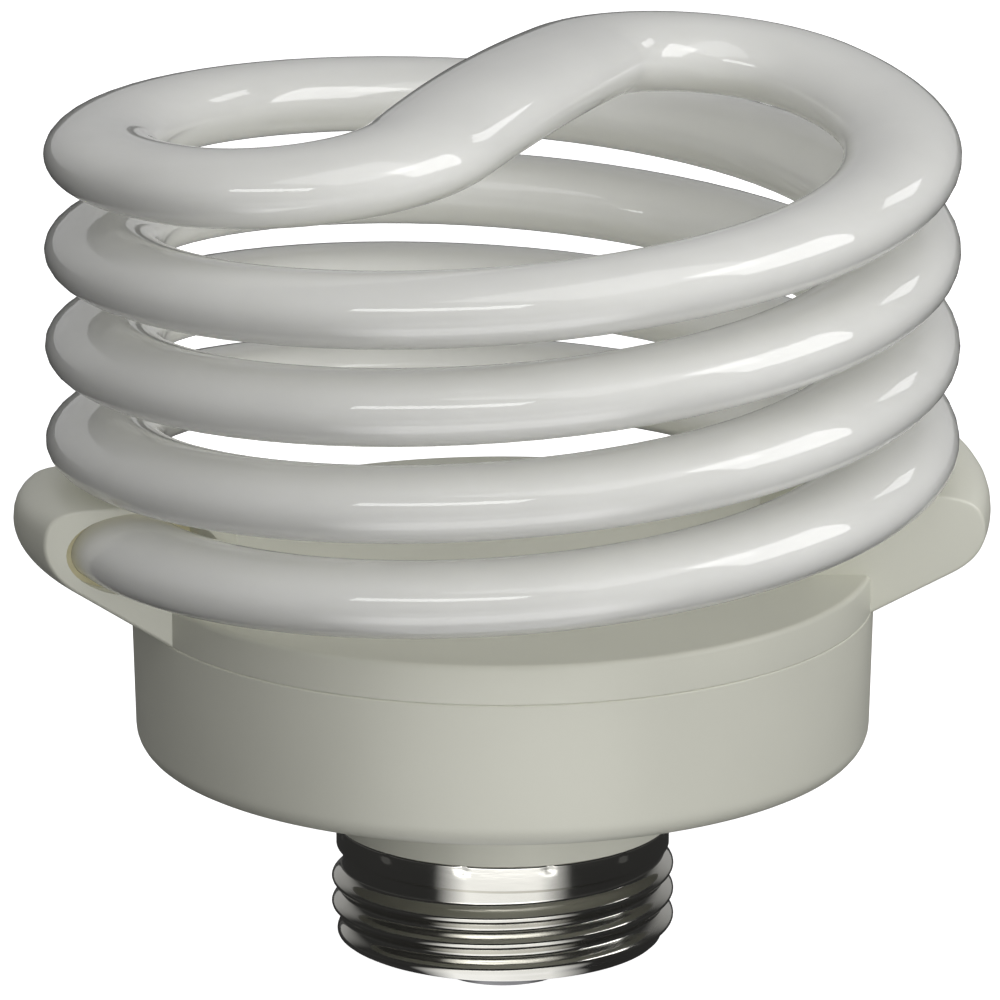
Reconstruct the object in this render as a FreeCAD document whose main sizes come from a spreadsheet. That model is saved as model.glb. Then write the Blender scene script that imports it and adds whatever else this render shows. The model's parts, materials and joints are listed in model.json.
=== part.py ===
"""Parametric model of a spiral energy saving lamp with a screw base.

The lamp stands upright: +Z runs up its axis and the origin is the middle of the lower face of the
centre contact. Lengths are millimetres and angles are degrees.
"""
import FreeCAD, Part
import math
import os

import Sketcher
from FreeCAD import Placement, Rotation, Vector

# Driving dimensions: cell alias, value and meaning
DIMENSIONS = [
    ("coil_radius", 30.35, "centre line of the glass coils from the axis"),
    ("coil_spacing", 7.48, "rise of an arm in half a turn, and so the step between coils"),
    ("coil_foot", 35.25, "height of an arm's centre line where it leaves its socket"),
    ("coil_half_turns", 4, "half turns of each arm between its socket and the crossover"),
    ("tube_width", 9.0, "width of the tube's oval section across the lamp"),
    ("tube_height", 5.55, "height of the tube's oval section"),
    ("foot_lift", 1.2, "extra height of the tube in its socket, which eases the first coil"),
    ("foot_ease", 0.6, "half turns over which that extra height fades out"),
    ("tube_start", -0.02, "half turns at which the glass of an arm begins, inside its socket"),
    ("loop_radius", 23.9, "radius in plan at which an arm turns inward on top"),
    ("bend_radius", 11.2, "radius in plan of the tight bend before the crossover"),
    ("crossing_angle", 67.0, "angle in plan of the crossover to the line through the sockets"),
    ("crossing_rise", 4.1, "rise from the last half turn to the middle of the crossover"),
    ("crossing_swell", 0.30, "share by which the tube is wider in the middle of the crossover"),
    ("crossing_puff", 0.09, "share by which the tube is higher in the middle of the crossover"),
    ("housing_radius", 28.4, "outer radius of the housings at their seam"),
    ("housing_draft", 0.35, "how much the lower housing narrows towards its floor"),
    ("housing_wall", 1.5, "wall of the plastic mouldings"),
    ("seam_height", 29.9, "height of the seam between cover and lower housing"),
    ("skirt_height", 3.1, "height of the cover's skirt above the seam"),
    ("skirt_round", 0.35, "radius round the upper edge of the skirt"),
    ("floor_height", 18.4, "height of the lower housing's underside"),
    ("floor_round", 1.9, "radius round the edge of that underside"),
    ("seam_rebate", 0.45, "how much the lower housing's rim is thinned for the cover's spigot"),
    ("rebate_play", 0.2, "play below the spigot in that rebate"),
    ("spigot_gap", 0.1, "clearance of the spigot in the rebate"),
    ("spigot_wall", 1.2, "wall of the cover's spigot"),
    ("spigot_depth", 2.0, "how far the spigot reaches below the seam"),
    ("neck_radius", 12.9, "outer radius of the neck above the screw shell"),
    ("neck_wall", 1.5, "wall of the neck inside the shell"),
    ("neck_foot", 10.3, "height of the neck's lower end, inside the shell's collar"),
    ("rib_reach", 1.9, "length across the lamp of a board rib's top"),
    ("rib_stand", 0.4, "how far a board rib's top reaches beyond the board's edge"),
    ("rib_width", 1.4, "thickness of a board rib"),
    ("ear_back", 4.5, "distance of a socket's closed end from the plane through the axis"),
    ("ear_mouth", 13.5, "distance of a socket's mouth from the plane through the axis"),
    ("ear_outer_back", 37.0, "outer reach of a socket at its closed end, from the axis"),
    ("ear_outer_mouth", 37.15, "outer reach of a socket at its mouth"),
    ("ear_outer_bulge", 0.35, "how much further the middle of a socket reaches"),
    ("ear_inner", 24.0, "inner reach of a socket from the axis"),
    ("ear_centre_back", 36.35, "height of a socket's middle at its closed end"),
    ("ear_centre_mouth", 37.9, "height of a socket's middle at its mouth"),
    ("ear_crown_back", 2.95, "height of a socket's top above its middle, at the closed end"),
    ("ear_crown_mouth", 3.0, "height of a socket's top above its middle, at the mouth"),
    ("ear_fullness", 1.6, "weight that squares the shoulders of a socket's top"),
    ("ear_belly_back", 4.2, "depth of a socket's round underside, at the closed end"),
    ("ear_belly_mouth", 5.0, "depth of a socket's round underside, at the mouth"),
    ("socket_side_gap", 0.75, "clearance beside the tube in its socket"),
    ("socket_gap", 0.5, "mean clearance above and below the tube in its socket"),
    ("socket_lift", 0.2, "height of the socket's middle above the tube's"),
    ("socket_end", -0.032, "half turns at which a socket's cavity ends"),
    ("socket_past", 0.22, "half turns to which the cavity is cut, past the mouth"),
    ("cement_setback", 3.0, "how far the cement stays inside the mouth"),
    ("lead_hole_radius", 1.4, "radius of the passage for a tube end's lead-in wires"),
    ("lead_hole_reach", 26.0, "distance of that passage from the axis"),
    ("lead_hole_along", -1.2, "place of that passage along Y, on the right"),
    ("shell_radius", 12.8, "outer radius of the screw shell's collar"),
    ("sheet_thickness", 0.3, "thickness of the shell's sheet metal"),
    ("shell_top", 12.3, "height of the shell's rim"),
    ("collar_foot", 10.1, "height at which the collar ends and the thread begins"),
    ("collar_step", 0.5, "height over which the collar narrows to the thread"),
    ("toe_in", 0.6, "how far the shell is drawn in below the thread"),
    ("toe_drop", 0.75, "depth of that bend below the lowest crest"),
    ("thread_root", 12.3, "root radius of the rolled thread"),
    ("thread_crest", 13.15, "crest radius of the rolled thread"),
    ("thread_pitch", 2.04, "pitch of the rolled thread"),
    ("thread_foot", 3.55, "height of the lowest crest where the thread begins"),
    ("thread_turns", 2.9, "turns of the thread"),
    ("shell_mouth", 9.4, "radius of the hole in the bottom of the shell"),
    ("shell_foot", 2.2, "height of the edge round that hole"),
    ("contact_radius", 4.85, "radius of the centre contact"),
    ("contact_height", 0.9, "height of the centre contact's rim above its lower face"),
    ("contact_flat", 2.2, "radius of the solder bump's flat end"),
    ("insulator_bore", 1.5, "radius of the hole for the live lead"),
    ("board_radius", 25.6, "radius of the circuit board"),
    ("board_thickness", 1.2, "thickness of the circuit board"),
    ("board_height", 29.0, "height of the circuit board's underside"),
    ("pin_radius", 0.35, "radius of a component's legs"),
    ("pin_stand", 0.7, "how far legs stand out above the board"),
    ("pin_seat", 0.1, "how far a leg reaches into its component"),
    ("hang_gap", 0.3, "gap between the board and the components under it"),
    ("axial_reach", 1.2, "how far an axial component's legs run out before they turn up"),
    ("post_width", 0.9, "side of a square wire post"),
    ("post_drop", 2.6, "how far a wire post reaches below the board"),
    ("post_stand", 1.0, "how far a wire post stands above the board"),
    ("fit_slack", 0.05, "play on each side of parts that are fitted into each other"),
    ("choke_length", 14.0, "length of the choke core"),
    ("choke_width", 12.0, "width of the choke core"),
    ("choke_height", 4.8, "height of the choke core"),
    ("choke_leg", 1.8, "thickness of the core's outer legs and yokes"),
    ("choke_post", 3.2, "width of the core's middle leg"),
    ("bobbin_wall", 0.6, "wall of the choke's bobbin"),
    ("winding_depth", 1.1, "depth of the choke's winding on the bobbin"),
    ("choke_place", -15.0, "place of the choke from the axis, along X"),
    ("choke_drop", 4.6, "depth of the choke's middle below the board"),
    ("pad_width", 1.4, "width of the bobbin's pads under the board"),
    ("pad_place", 3.0, "distance of those pads from the bobbin's middle"),
    ("capacitor_radius", 5.0, "radius of the input capacitor"),
    ("capacitor_length", 14.0, "length of the input capacitor"),
    ("drum_radius", 3.2, "radius of the filter choke's drum core"),
    ("drum_neck", 1.6, "radius of the drum core between its flanges"),
    ("drum_flange", 1.0, "thickness of the drum core's flanges"),
    ("drum_height", 8.3, "height of the drum core"),
    ("drum_wound", 2.8, "outer radius of the drum core's winding"),
    ("toroid_outer", 4.3, "outer radius of the drive toroid"),
    ("toroid_inner", 2.2, "inner radius of the drive toroid"),
    ("toroid_height", 4.0, "height of the drive toroid"),
    ("toroid_gap", 0.9, "gap between the board and the drive toroid"),
    ("lead_radius", 0.25, "radius of the bare lead-in wires"),
    ("cable_radius", 0.55, "radius of the insulated live and neutral leads"),
]

# How far tools that cut right through reach past the stock
THROUGH = 1.0

# Directions that the sub-parts share
UP = Vector(0, 0, 1)
AXIS_TURNS = {"Z": Rotation(), "X": Rotation(Vector(0, 1, 0), 90), "Y": Rotation(Vector(1, 0, 0), -90)}

doc = FreeCAD.newDocument("SpiralLamp")
sheet = doc.addObject("Spreadsheet::Sheet", "Sizes")
nodes = {}


def fill_sheet():
    """Write every driving dimension into the sheet with its alias and meaning."""
    for row, (alias, value, meaning) in enumerate(DIMENSIONS, start=1):
        sheet.set(f"A{row}", meaning)
        sheet.set(f"B{row}", str(value))
        sheet.setAlias(f"B{row}", alias)
    doc.recompute()


def size(alias):
    """Value of one driving dimension."""
    return float(sheet.get(alias))


def on_sheet(expression):
    """Turn the sheet's aliases in an expression into references to the sheet."""
    words = []
    word = ""
    for letter in expression + " ":
        if letter.isalnum() or letter in "_.":
            word += letter
            continue
        words.append(f"Sizes.{word}" if word in ALIASES else word)
        words.append(letter)
        word = ""
    return "".join(words).strip()


ALIASES = {alias for alias, _, _ in DIMENSIONS}


def number(expression):
    """Value of an expression on the sheet's aliases."""
    result = sheet.evalExpression(on_sheet(expression))
    return float(getattr(result, "Value", result))


def bind(feature, prop, expression):
    """Bind a property to an expression on the sheet's aliases."""
    feature.setExpression(prop, on_sheet(expression))


def keep(label, feature):
    """Give a finished sub-part its own label and list it as a node."""
    feature.Label = label
    nodes[label] = feature
    return feature


def origin_plane(body, role):
    """One of a body's own origin planes."""
    for feature in body.Origin.OriginFeatures:
        if feature.Role == role:
            return feature
    raise ValueError(role)


def profile(body, name, corners, role="XZ_Plane"):
    """Closed polygon sketch whose corners are pairs of expressions, fully bound to the sheet."""
    sketch = body.newObject("Sketcher::SketchObject", name)
    sketch.AttachmentSupport = (origin_plane(body, role), [""])
    sketch.MapMode = "FlatFace"
    places = [Vector(number(across), number(height), 0) for across, height in corners]
    count = len(places)
    for index, place in enumerate(places):
        sketch.addGeometry(Part.LineSegment(place, places[(index + 1) % count]), False)
    for index in range(count):
        sketch.addConstraint(Sketcher.Constraint("Coincident", index, 2, (index + 1) % count, 1))
    for index, (across, height) in enumerate(corners):
        pin_corner(sketch, index, "DistanceX", across, -2)
        pin_corner(sketch, index, "DistanceY", height, -1)
    return sketch


def pin_corner(sketch, index, kind, expression, axis):
    """Hold one coordinate of a sketch corner at an expression, or on the axis where it is zero."""
    value = number(expression)
    if abs(value) < 1e-9:
        sketch.addConstraint(Sketcher.Constraint("PointOnObject", index, 1, axis))
        return
    place = sketch.addConstraint(Sketcher.Constraint(kind, -1, 1, index, 1, value))
    bind(sketch, f"Constraints[{place}]", expression)


def turned_body(name, corners):
    """Body turned about the lamp's axis from a closed profile."""
    body = doc.addObject("PartDesign::Body", name)
    sketch = profile(body, f"{name}_profile", corners)
    turn = body.newObject("PartDesign::Revolution", f"{name}_turn")
    turn.Profile = sketch
    turn.ReferenceAxis = (sketch, ["V_Axis"])
    turn.Angle = 360
    body.Tip = turn
    doc.recompute()
    return body


def ring_edges(shape, radius, height):
    """Names of the circular edges about the axis that lie at a radius and a height."""
    names = []
    for index, edge in enumerate(shape.Edges, start=1):
        point = edge.valueAt(edge.FirstParameter)
        if abs(math.hypot(point.x, point.y) - radius) < 0.02 and abs(point.z - height) < 0.02:
            if isinstance(edge.Curve, Part.Circle):
                names.append(f"Edge{index}")
    return names


def round_ring(body, radius, height, fillet):
    """Fillet the circular edge of a turned body at a radius and height, given as expressions."""
    base = body.Tip
    edges = ring_edges(base.Shape, number(radius), number(height))
    feature = body.newObject("PartDesign::Fillet", f"{body.Name}_round")
    feature.Base = (base, edges)
    bind(feature, "Radius", fillet)
    body.Tip = feature
    doc.recompute()


def box(name, length, width, height, place):
    """Box centred on X and Y over a place, each size and coordinate an expression."""
    feature = doc.addObject("Part::Box", name)
    bind(feature, "Length", length)
    bind(feature, "Width", width)
    bind(feature, "Height", height)
    bind(feature, "Placement.Base.x", f"{place[0]} - ({length}) / 2")
    bind(feature, "Placement.Base.y", f"{place[1]} - ({width}) / 2")
    bind(feature, "Placement.Base.z", place[2])
    return feature


def rod(name, radius, length, place, axis="Z"):
    """Cylinder that starts at a place and runs along an axis."""
    feature = doc.addObject("Part::Cylinder", name)
    bind(feature, "Radius", radius)
    bind(feature, "Height", length)
    feature.Placement = Placement(Vector(), AXIS_TURNS[axis])
    for letter, expression in zip("xyz", place):
        bind(feature, f"Placement.Base.{letter}", expression)
    return feature


def fuse(name, features):
    """Union of several features."""
    feature = doc.addObject("Part::MultiFuse", name)
    feature.Shapes = features
    return feature


def cut(name, base, tool):
    """A feature with another one cut away."""
    feature = doc.addObject("Part::Cut", name)
    feature.Base = base
    feature.Tool = tool
    return feature


def group(name, features):
    """Separate solids that are kept as one node."""
    feature = doc.addObject("Part::Compound", name)
    feature.Links = features
    return feature


def solid(name, shape):
    """Feature that holds a shape worked out from the sheet."""
    feature = doc.addObject("Part::Feature", name)
    feature.Shape = shape
    return feature


# Path and section of the glass tube

def arm_place(level):
    """Point, heading and slope of the right-hand arm's centre line at a number of half turns."""
    turn = math.pi * level
    fade = max(0.0, 1 - level / size("foot_ease"))
    height = size("coil_foot") + size("coil_spacing") * level + size("foot_lift") * fade ** 2
    climb = size("coil_spacing") - 2 * size("foot_lift") * fade / size("foot_ease")
    radius = size("coil_radius")
    point = Vector(radius * math.cos(turn), radius * math.sin(turn), height)
    slope = climb / (math.pi * radius)
    return point, turn + math.pi / 2, slope


def crossing_plan():
    """Turns of the two arcs, their centres and the straight run of half the crossover, in plan."""
    loop = size("loop_radius")
    bend = size("bend_radius")
    angle = math.radians(size("crossing_angle"))
    offset = size("coil_radius") - loop
    first_turn = angle - math.asin((bend - offset * math.sin(angle)) / (loop - bend))
    loop_centre = Vector(offset, 0, 0)
    spoke = Vector(math.cos(first_turn), math.sin(first_turn), 0)
    bend_centre = loop_centre + spoke * (loop - bend)
    second_turn = math.pi / 2 + angle - first_turn
    away = Vector(math.cos(angle), math.sin(angle), 0)
    return first_turn, second_turn, loop_centre, bend_centre, bend_centre.dot(away), away


def crossing_place(share):
    """Point, heading and slope on the crossover, from one arm at 0 to the other arm at 1."""
    first_turn, second_turn, loop_centre, bend_centre, run, away = crossing_plan()
    loop = size("loop_radius")
    bend = size("bend_radius")
    half = loop * first_turn + bend * second_turn + run
    way = half * (1 - abs(1 - 2 * share))
    if way < loop * first_turn:
        turn = way / loop
        point = loop_centre + Vector(math.cos(turn), math.sin(turn), 0) * loop
        heading = turn + math.pi / 2
    elif way < loop * first_turn + bend * second_turn:
        turn = first_turn + (way - loop * first_turn) / bend
        point = bend_centre + Vector(math.cos(turn), math.sin(turn), 0) * bend
        heading = turn + math.pi / 2
    else:
        point = away * (half - way)
        heading = math.pi + math.radians(size("crossing_angle"))
    ratio = way / half
    entry = size("coil_spacing") / (math.pi * size("coil_radius"))
    rise = size("crossing_rise")
    top = size("coil_foot") + size("coil_spacing") * size("coil_half_turns")
    climb_in = entry * half * (ratio ** 3 - 2 * ratio ** 2 + ratio)
    climb_on = rise * (3 * ratio ** 2 - 2 * ratio ** 3)
    slope = entry * (3 * ratio ** 2 - 4 * ratio + 1) + rise * (6 * ratio - 6 * ratio ** 2) / half
    point = Vector(point.x, point.y, top + climb_in + climb_on)
    if share > 0.5:
        point = Vector(-point.x, -point.y, point.z)
        slope = -slope
    return point, heading, slope


# Control points of an oval's exact outline, in half axes, and their weights
OVAL_CORNERS = [(1, 0), (1, 1), (0, 1), (-1, 1), (-1, 0), (-1, -1), (0, -1), (1, -1), (1, 0)]
OVAL_WEIGHTS = [1.0 if 0 in corner else math.sqrt(0.5) for corner in OVAL_CORNERS]


def oval_row(place, half_width, half_height):
    """Control points of an oval square to a path, its long axis level."""
    point, heading, slope = place
    ahead = Vector(math.cos(heading), math.sin(heading), slope).normalize()
    outward = Vector(math.sin(heading), -math.cos(heading), 0)
    upward = outward.cross(ahead)
    across_way = outward * half_width
    up_way = upward * half_height
    return [point + across_way * across + up_way * up for across, up in OVAL_CORNERS]


def swept_solid(stops, rows):
    """Solid with one smooth side through rows of oval control points, and a flat cap at each end."""
    columns = []
    for column in zip(*rows):
        curve = Part.BSplineCurve()
        curve.interpolate(Points=list(column), Parameters=stops)
        columns.append(curve.getPoles())
    weights = [[weight] * len(columns[0]) for weight in OVAL_WEIGHTS]
    surface = Part.BSplineSurface()
    surface.buildFromPolesMultsKnots(columns, [3, 2, 2, 2, 3], curve.getMultiplicities(), [0, 1, 2, 3, 4],
                                     curve.getKnots(), False, False, 2, 3, weights)
    side = surface.toShape()
    faces = [side]
    longest_rim = math.pi * 2 * size("tube_width")
    for edge in side.Edges:
        if edge.isClosed() and edge.Length < longest_rim:
            faces.append(Part.Face(Part.Wire([edge])))
    bar = Part.makeSolid(Part.makeShell(faces))
    if bar.Volume < 0:
        bar.reverse()
    bar.fix(1e-5, 1e-5, 1e-3)
    return bar


def steps(first, last, count):
    """Evenly spaced values from first to last."""
    return [first + (last - first) * index / count for index in range(count + 1)]


def arm_solid(first, last, side_gap=0.0, top_gap=0.0, lift=0.0):
    """Oval bar along an arm, grown to the sides and up and down, and lifted as asked."""
    half_width = size("tube_width") / 2 + side_gap
    half_height = size("tube_height") / 2 + top_gap
    fewest_steps = 6
    steps_in_half_turn = 48
    stops = steps(first, last, max(fewest_steps, round((last - first) * steps_in_half_turn)))
    bar = swept_solid(stops, [oval_row(arm_place(stop), half_width, half_height) for stop in stops])
    bar.translate(Vector(0, 0, lift))
    return bar


def tube_place(way):
    """Point, heading and slope on the tube: up the right arm to 1, over the top to 2, then down to 3."""
    if 1 <= way <= 2:
        return crossing_place(way - 1)
    first = size("tube_start")
    climb = size("coil_half_turns") - first
    if way < 1:
        return arm_place(first + climb * way)
    point, heading, slope = arm_place(first + climb * (3 - way))
    return Vector(-point.x, -point.y, point.z), heading, -slope


def make_tube():
    """The glass tube: two arms wound as a double helix and the crossover that swells between them."""
    climb = size("coil_half_turns") - size("tube_start")
    steps_in_half_turn = 14
    arm_steps = round(climb * steps_in_half_turn)
    crossing_steps = 16
    stops = steps(0, 1, arm_steps)[:-1] + steps(1, 2, crossing_steps) + steps(2, 3, arm_steps)[1:]
    rows = []
    for stop in stops:
        swell = 0.5 - 0.5 * math.cos(2 * math.pi * stop) if 1 < stop < 2 else 0
        half_width = size("tube_width") / 2 * (1 + size("crossing_swell") * swell)
        half_height = size("tube_height") / 2 * (1 + size("crossing_puff") * swell)
        rows.append(oval_row(tube_place(stop), half_width, half_height))
    return keep("spiral_tube", solid("spiral_tube", swept_solid(stops, rows)))


def turned_about(shape, angle):
    """Copy of a shape turned about the lamp's axis."""
    copy = shape.copy()
    copy.rotate(Vector(), UP, angle)
    return copy


# Sockets of the cover

def round_arc(centre, across, up, first, last, fullness=0.0):
    """Arc of under a half turn on two half axes: an ellipse's, or squarer where a weight is given."""
    middle = math.radians(first + last) / 2
    spread = abs(math.radians(last - first)) / 2
    curve = Part.BezierCurve()
    ends = []
    for angle in (math.radians(first), math.radians(last)):
        ends.append(centre + across * math.cos(angle) + up * math.sin(angle))
    reach = 1 / math.cos(spread)
    control = centre + across * (math.cos(middle) * reach) + up * (math.sin(middle) * reach)
    curve.setPoles([ends[0], control, ends[1]])
    curve.setWeight(2, fullness or math.cos(spread))
    return curve.toShape(), ends[0], ends[1]


def ear_section(share):
    """Outline of a socket across its length, from its closed end at 0 to its mouth at 1."""
    depth = -size("ear_back") + share * (size("ear_back") + size("ear_mouth"))

    def between(back, mouth):
        return size(back) + share * (size(mouth) - size(back))

    reach = between("ear_outer_back", "ear_outer_mouth")
    reach += size("ear_outer_bulge") * 4 * share * (1 - share)
    outer = math.sqrt(reach ** 2 - depth ** 2)
    inner = math.sqrt(size("ear_inner") ** 2 - depth ** 2)
    corner = math.sqrt(size("housing_radius") ** 2 - depth ** 2)
    middle = math.sqrt(size("coil_radius") ** 2 - depth ** 2)
    height = between("ear_centre_back", "ear_centre_mouth")
    centre = Vector(middle, depth, height)
    outside = Vector(outer - middle, 0, 0)
    inside = Vector(inner - middle, 0, 0)
    crown = Vector(0, 0, between("ear_crown_back", "ear_crown_mouth"))
    belly = between("ear_belly_back", "ear_belly_mouth")
    across = (corner - middle) / (outer - middle)
    down = (size("seam_height") - height) / belly
    touch = math.degrees(math.atan2(down, across) + math.acos(1 / math.hypot(across, down)))
    full = size("ear_fullness")
    first, _, rim = round_arc(centre, inside, crown, 90, 0, full)
    second, _, _ = round_arc(centre, outside, crown, 90, 0, full)
    third, _, low = round_arc(centre, outside, Vector(0, 0, belly), 0, touch)
    inner_foot = Vector(inner, depth, size("seam_height"))
    outer_foot = Vector(corner, depth, size("seam_height"))
    edges = [second, third, Part.LineSegment(low, outer_foot).toShape()]
    edges.append(Part.LineSegment(outer_foot, inner_foot).toShape())
    edges.append(Part.LineSegment(inner_foot, rim).toShape())
    edges.append(first)
    return Part.Wire(Part.__sortEdges__(edges))


def make_cover():
    """Upper housing: a flat-topped skirt with a spigot below and two sockets for the tube's ends."""
    spigot = "(housing_radius - housing_wall + seam_rebate - spigot_gap)"
    deck_under = "seam_height + skirt_height - housing_wall"
    cup = turned_body("cover_cup", [
        ("0", deck_under),
        (f"{spigot} - spigot_wall", deck_under),
        (f"{spigot} - spigot_wall", "seam_height - spigot_depth"),
        (spigot, "seam_height - spigot_depth"),
        (spigot, "seam_height"),
        ("housing_radius", "seam_height"),
        ("housing_radius", "seam_height + skirt_height"),
        ("0", "seam_height + skirt_height"),
    ])
    round_ring(cup, "housing_radius", "seam_height + skirt_height", "skirt_round")
    blank = Part.makeLoft([ear_section(share / 4) for share in range(5)], True, False)
    cavity = arm_solid(size("socket_end"), size("socket_past"), size("socket_side_gap"), size("socket_gap"),
                       size("socket_lift"))
    hole_foot = size("seam_height") - size("spigot_depth") - THROUGH
    hole_place = Vector(size("lead_hole_reach"), size("lead_hole_along"), hole_foot)
    hole_top = size("coil_foot") - hole_foot
    hole = Part.makeCylinder(size("lead_hole_radius"), hole_top, hole_place)
    ears = []
    room = rod("board_room", f"{spigot} - spigot_wall", "skirt_height - housing_wall + spigot_depth",
               ("0", "0", "seam_height - spigot_depth"))
    cavities = [room]
    for angle in (0, 180):
        ears.append(solid(f"ear_{angle}", turned_about(blank, angle)))
        cavities.append(solid(f"cavity_{angle}", turned_about(cavity, angle)))
        cavities.append(solid(f"lead_hole_{angle}", turned_about(hole, angle)))
    body = fuse("cover_blank", [cup] + ears)
    return keep("tube_cover", cut("tube_cover", body, fuse("cover_cavities", cavities)))


def make_cement():
    """Cement that fixes each end of the tube in its socket."""
    first = size("tube_start")
    step = size("cement_setback") / (math.pi * size("coil_radius"))
    mouth = math.degrees(math.asin(size("ear_mouth") / size("coil_radius"))) / 180
    slack = size("fit_slack")
    end_slack = 0.004
    plug = arm_solid(first + end_slack, mouth - step, size("socket_side_gap") - slack,
                     size("socket_gap") - slack, size("socket_lift"))
    ring = plug.cut(arm_solid(first - step, mouth + step, slack / 2, slack / 2))
    for side, angle in (("right", 0), ("left", 180)):
        keep(f"{side}_tube_cement", solid(f"{side}_tube_cement", turned_about(ring, angle)))


# Lower housing and screw base

def make_housing():
    """Lower housing: a round-bottomed cup with a neck for the screw shell and ribs for the board."""
    wall = "housing_radius - housing_draft"
    floor = "floor_height + housing_wall"
    cup = turned_body("housing_cup", [
        ("shell_radius - sheet_thickness - neck_wall", "neck_foot"),
        ("shell_radius - sheet_thickness", "neck_foot"),
        ("shell_radius - sheet_thickness", "shell_top"),
        ("neck_radius", "shell_top"),
        ("neck_radius", "floor_height"),
        (wall, "floor_height"),
        ("housing_radius", "seam_height"),
        ("housing_radius - housing_wall + seam_rebate", "seam_height"),
        ("housing_radius - housing_wall + seam_rebate", "seam_height - spigot_depth - rebate_play"),
        ("housing_radius - housing_wall", "seam_height - spigot_depth - rebate_play"),
        (f"{wall} - housing_wall", floor),
        ("shell_radius - sheet_thickness - neck_wall", floor),
    ])
    round_ring(cup, wall, "floor_height", "floor_round")
    foot = number("floor_height + housing_wall / 2")
    start = number("board_radius + rib_stand - rib_reach")
    web_drop = 0.1
    ribs = []
    for angle in (45, 135, 225, 315):
        turn = Rotation(UP, angle)
        place = turn.multVec(Vector(start, -size("rib_width") / 2, foot))
        post = doc.addObject("Part::Box", f"board_rib_{angle}")
        bind(post, "Length", "rib_reach")
        bind(post, "Height", f"board_height - {foot}")
        web = doc.addObject("Part::Box", f"rib_web_{angle}")
        bind(web, "Length", "rib_reach + housing_wall")
        bind(web, "Height", f"seam_height - spigot_depth - rebate_play - {web_drop} - {foot}")
        for rib in (post, web):
            bind(rib, "Width", "rib_width")
            rib.Placement = Placement(place, turn)
            ribs.append(rib)
    return keep("ballast_housing", fuse("ballast_housing", [cup] + ribs))


def make_shell():
    """Screw shell: thin sheet with a plain collar and a rolled right-handed thread."""
    bend_shift = 0.1
    body = turned_body("screw_shell", [
        ("shell_radius - sheet_thickness", "shell_top"),
        ("shell_radius", "shell_top"),
        ("shell_radius", "collar_foot"),
        ("thread_root", "collar_foot - collar_step"),
        ("thread_root", "thread_foot"),
        ("thread_root - toe_in", "thread_foot - toe_drop"),
        ("shell_mouth", "shell_foot"),
        ("shell_mouth", "shell_foot + sheet_thickness"),
        ("thread_root - toe_in - sheet_thickness / 2", "thread_foot - toe_drop + sheet_thickness"),
        ("thread_root - sheet_thickness", f"thread_foot + {bend_shift}"),
        ("thread_root - sheet_thickness", f"collar_foot - collar_step + {bend_shift}"),
        ("shell_radius - sheet_thickness", f"collar_foot + {bend_shift}"),
    ])
    sunk = "thread_root - sheet_thickness / 2"
    shoulder = "thread_crest - 0.35 * (thread_crest - thread_root)"
    foot_share, shoulder_share, crest_share = 0.4, 0.26, 0.09
    ridge = profile(body, "thread_ridge", [
        (sunk, f"thread_foot - {foot_share} * thread_pitch"),
        (shoulder, f"thread_foot - {shoulder_share} * thread_pitch"),
        ("thread_crest", f"thread_foot - {crest_share} * thread_pitch"),
        ("thread_crest", f"thread_foot + {crest_share} * thread_pitch"),
        (shoulder, f"thread_foot + {shoulder_share} * thread_pitch"),
        (sunk, f"thread_foot + {foot_share} * thread_pitch"),
    ])
    thread = body.newObject("PartDesign::AdditiveHelix", "rolled_thread")
    thread.Profile = ridge
    thread.ReferenceAxis = (ridge, ["V_Axis"])
    thread.Mode = 1
    bind(thread, "Pitch", "thread_pitch")
    bind(thread, "Turns", "thread_turns")
    body.Tip = thread
    body.Placement = Placement(Vector(), Rotation(UP, 180))
    doc.recompute()
    return keep("screw_shell", body)


def make_base_end():
    """Insulator that closes the shell and the contact in the middle of it."""
    seat_rise = "(thread_foot - toe_drop - shell_foot)"
    seat_run = "(thread_root - toe_in - sheet_thickness / 2 - shell_mouth)"
    lip = 1.3
    brim_step, brim_drop = 0.7, 0.35
    back_step, back_rise, bore_rise = 0.9, 0.6, 0.2
    insulator = turned_body("base_insulator", [
        ("insulator_bore", "contact_height"),
        ("contact_radius + 2 * fit_slack", "contact_height"),
        (f"shell_mouth - {brim_step}", f"shell_foot - {brim_drop}"),
        ("shell_mouth", "shell_foot + 2 * fit_slack"),
        ("shell_mouth", "shell_foot + sheet_thickness"),
        (f"shell_mouth + {lip}", f"shell_foot + sheet_thickness + {lip} * {seat_rise} / {seat_run}"),
        (f"shell_mouth + {back_step}", f"thread_foot + {back_rise}"),
        ("insulator_bore", f"thread_foot + {bore_rise}"),
    ])
    bevel, rim = 0.5, 0.3
    contact = turned_body("centre_contact", [
        ("0", "0"),
        ("contact_flat", "0"),
        (f"contact_radius - {bevel}", "contact_height / 2"),
        ("contact_radius", f"contact_height - {rim}"),
        ("contact_radius", "contact_height"),
        ("0", "contact_height"),
    ])
    keep("base_insulator", insulator)
    keep("centre_contact", contact)


# Circuit board and what it carries

def legs(name, places, foot="board_height"):
    """Legs that stand through the board at places given in X and Y."""
    made = []
    for index, (across, along) in enumerate(places):
        length = f"board_height + board_thickness + pin_stand - ({foot})"
        made.append(rod(f"{name}_leg_{index}", "pin_radius", length, (across, along, foot)))
    board_holes.extend(places)
    return made


board_holes = []


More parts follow.
